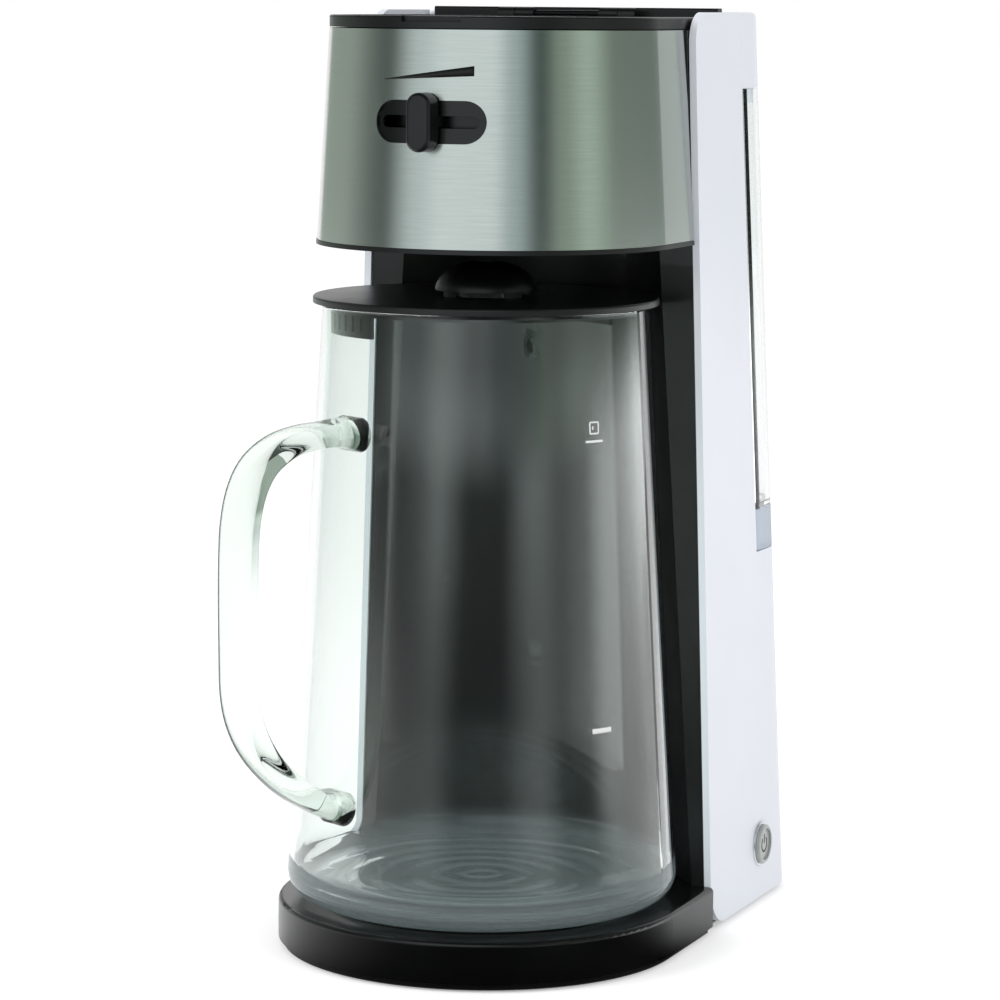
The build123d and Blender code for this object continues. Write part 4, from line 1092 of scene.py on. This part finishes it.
@dataclass
class Studio:
    """White sweep, soft lamps, the cloth that glossy and clear surfaces see, and the camera."""

    azimuth: float = 22.95
    pitch: float = 7.68
    roll: float = 0.49
    lens: float = 133.15
    sensor: float = 36.0
    place: Point = (0.55626, -1.32066, 0.36459)
    floor_half: float = 30.0
    # The sheet's own light where it is seen, so that it meets the white room without a line
    floor_glow: float = 0.36
    room_light: float = 0.7
    key: SoftBox = SoftBox("key", (-1.2, -1.4, 1.3), (0.0, 0.0, 0.2), (1.0, 1.4), 16.0)
    fill: SoftBox = SoftBox("fill", (1.6, -0.6, 0.9), (0.0, 0.0, 0.2), (1.0, 1.4), 7.0)
    room: Surround = Surround(
        "room_surround",
        ((-126.0, "#9FAAA1"), (-92.0, "#A0ABA2"), (-51.0, "#5A645F"), (-28.0, "#D2DEDD"), (-10.0, "#ECF6F6"),
         (19.0, "#EEF8F8"), (32.0, "#B9C8C7"), (49.0, "#44524D"), (63.0, "#92A193"), (80.0, "#B8CABB"),
         (104.0, "#78847A"), (150.0, "#76827B"), (160.0, "#F4FAFA")), 1.0,
        ((-126.0, "#8A8E8E"), (-72.0, "#6A6E6E"), (-40.0, "#2C2E2E"), (-8.0, "#6E7272"), (10.0, "#2C2E2E"),
         (30.0, "#2E3030"), (54.0, "#787C7C"), (72.0, "#262828"), (86.0, "#2A2C2C"), (104.0, "#B8BCBC"),
         (150.0, "#D6DADA")), 4.0,
        ((0.02, 0.001, -95.0, 140.0), (0.3, 0.001, -95.0, 140.0), (0.7, 0.001, -95.0, 140.0),
         (0.7, 0.18, -122.0, 150.0), (0.7, 0.26, -126.0, 163.0), (0.7, 1.0, -130.0, 166.0)))
    # One even tone: both distances lie below nothing, so it is as bright over the machine as at its edge
    ceiling: Surround = Surround(
        "ceiling",
        ((-180.0, "#4A4C4B"), (180.0, "#4A4C4B")), 1.0,
        ((-180.0, "#4A4C4B"), (180.0, "#4A4C4B")), 1.0,
        ((0.0, 1.0, -180.0, 180.0), (0.7, 1.0, -180.0, 180.0)), dark_reach=-3.0, bright_reach=-2.0)

    def camera(self) -> None:
        """Places the camera where the photograph was taken from."""
        turn, tilt, roll = radians(self.azimuth), radians(self.pitch), radians(self.roll)
        back = Vector((sin(turn) * cos(tilt), -cos(turn) * cos(tilt), sin(tilt)))
        right = Vector((cos(turn), sin(turn), 0))
        up = back.cross(right)
        right, up = right * cos(roll) + up * sin(roll), up * cos(roll) - right * sin(roll)
        data = bpy.data.cameras.new("camera")
        data.lens = self.lens
        data.sensor_width = self.sensor
        camera = placed("camera", data)
        matrix = camera.matrix_world
        for row in range(3):
            matrix[row][0], matrix[row][1], matrix[row][2] = right[row], up[row], back[row]
            matrix[row][3] = self.place[row]
        camera.matrix_world = matrix
        bpy.context.scene.camera = camera

    def seen(self, tree: bpy.types.NodeTree) -> bpy.types.NodeSocket:
        """Tells whether a ray comes from the camera, a mirror or a clear wall.

        Args:
            tree: The node tree.

        Returns:
            A socket that is one for such a ray.
        """
        path = add(tree, "ShaderNodeLightPath")
        direct = calc(tree, "MAXIMUM", path.outputs["Is Camera Ray"], path.outputs["Is Transmission Ray"])
        return calc(tree, "MAXIMUM", direct, path.outputs["Is Glossy Ray"])

    def floor(self) -> None:
        """Lays a wide white floor that keeps the machine's shadow and meets the white room without a line."""
        half = self.floor_half
        mesh = bpy.data.meshes.new("floor")
        mesh.from_pydata([(-half, -half, 0), (half, -half, 0), (half, half, 0), (-half, half, 0)], [],
                         [(0, 1, 2, 3)])
        floor = placed("floor", mesh)
        material, tree = blank("white_paper_sweep")
        paper = add(tree, "ShaderNodeBsdfDiffuse", {"Color": linear("#FAFAFA")})
        glow = add(tree, "ShaderNodeEmission", {"Color": linear("#FFFFFF")},
                   {"Strength": calc(tree, "MULTIPLY", self.seen(tree), self.floor_glow)})
        both = add(tree, "ShaderNodeAddShader", None, {0: paper.outputs[0], 1: glow.outputs[0]})
        add(tree, "ShaderNodeOutputMaterial", None, {"Surface": both.outputs[0]})
        mesh.materials.append(material)

    def world(self) -> None:
        """Lights the room softly and shows it as plain white where it is seen."""
        world = bpy.data.worlds.new("studio")
        bpy.context.scene.world = world
        world.use_nodes = True
        tree = world.node_tree
        tree.nodes.clear()
        room = add(tree, "ShaderNodeBackground", {"Color": linear("#FFFFFF"), "Strength": self.room_light})
        white = add(tree, "ShaderNodeBackground", {"Color": linear("#FFFFFF"), "Strength": 1.0})
        mix = add(tree, "ShaderNodeMixShader", None,
                  {0: self.seen(tree), 1: room.outputs[0], 2: white.outputs[0]})
        add(tree, "ShaderNodeOutputWorld", None, {"Surface": mix.outputs[0]})

    def build(self) -> None:
        """Sets up the whole studio."""
        bpy.context.scene.view_settings.view_transform = "Standard"
        self.camera()
        self.floor()
        self.world()
        for cloth in (self.room, self.ceiling):
            cloth.raise_up()
        for lamp in (self.key, self.fill):
            lamp.hang()


def main() -> None:
    """Builds the studio, then dresses the machine one sub-assembly at a time."""
    Studio().build()
    bench = Bench()
    for group in (Housing(), Foot(), Column(), Head(), Jug(), JugLid(), Tank(), PowerButton()):
        group.build(bench)


if __name__ == "__main__":
    main()
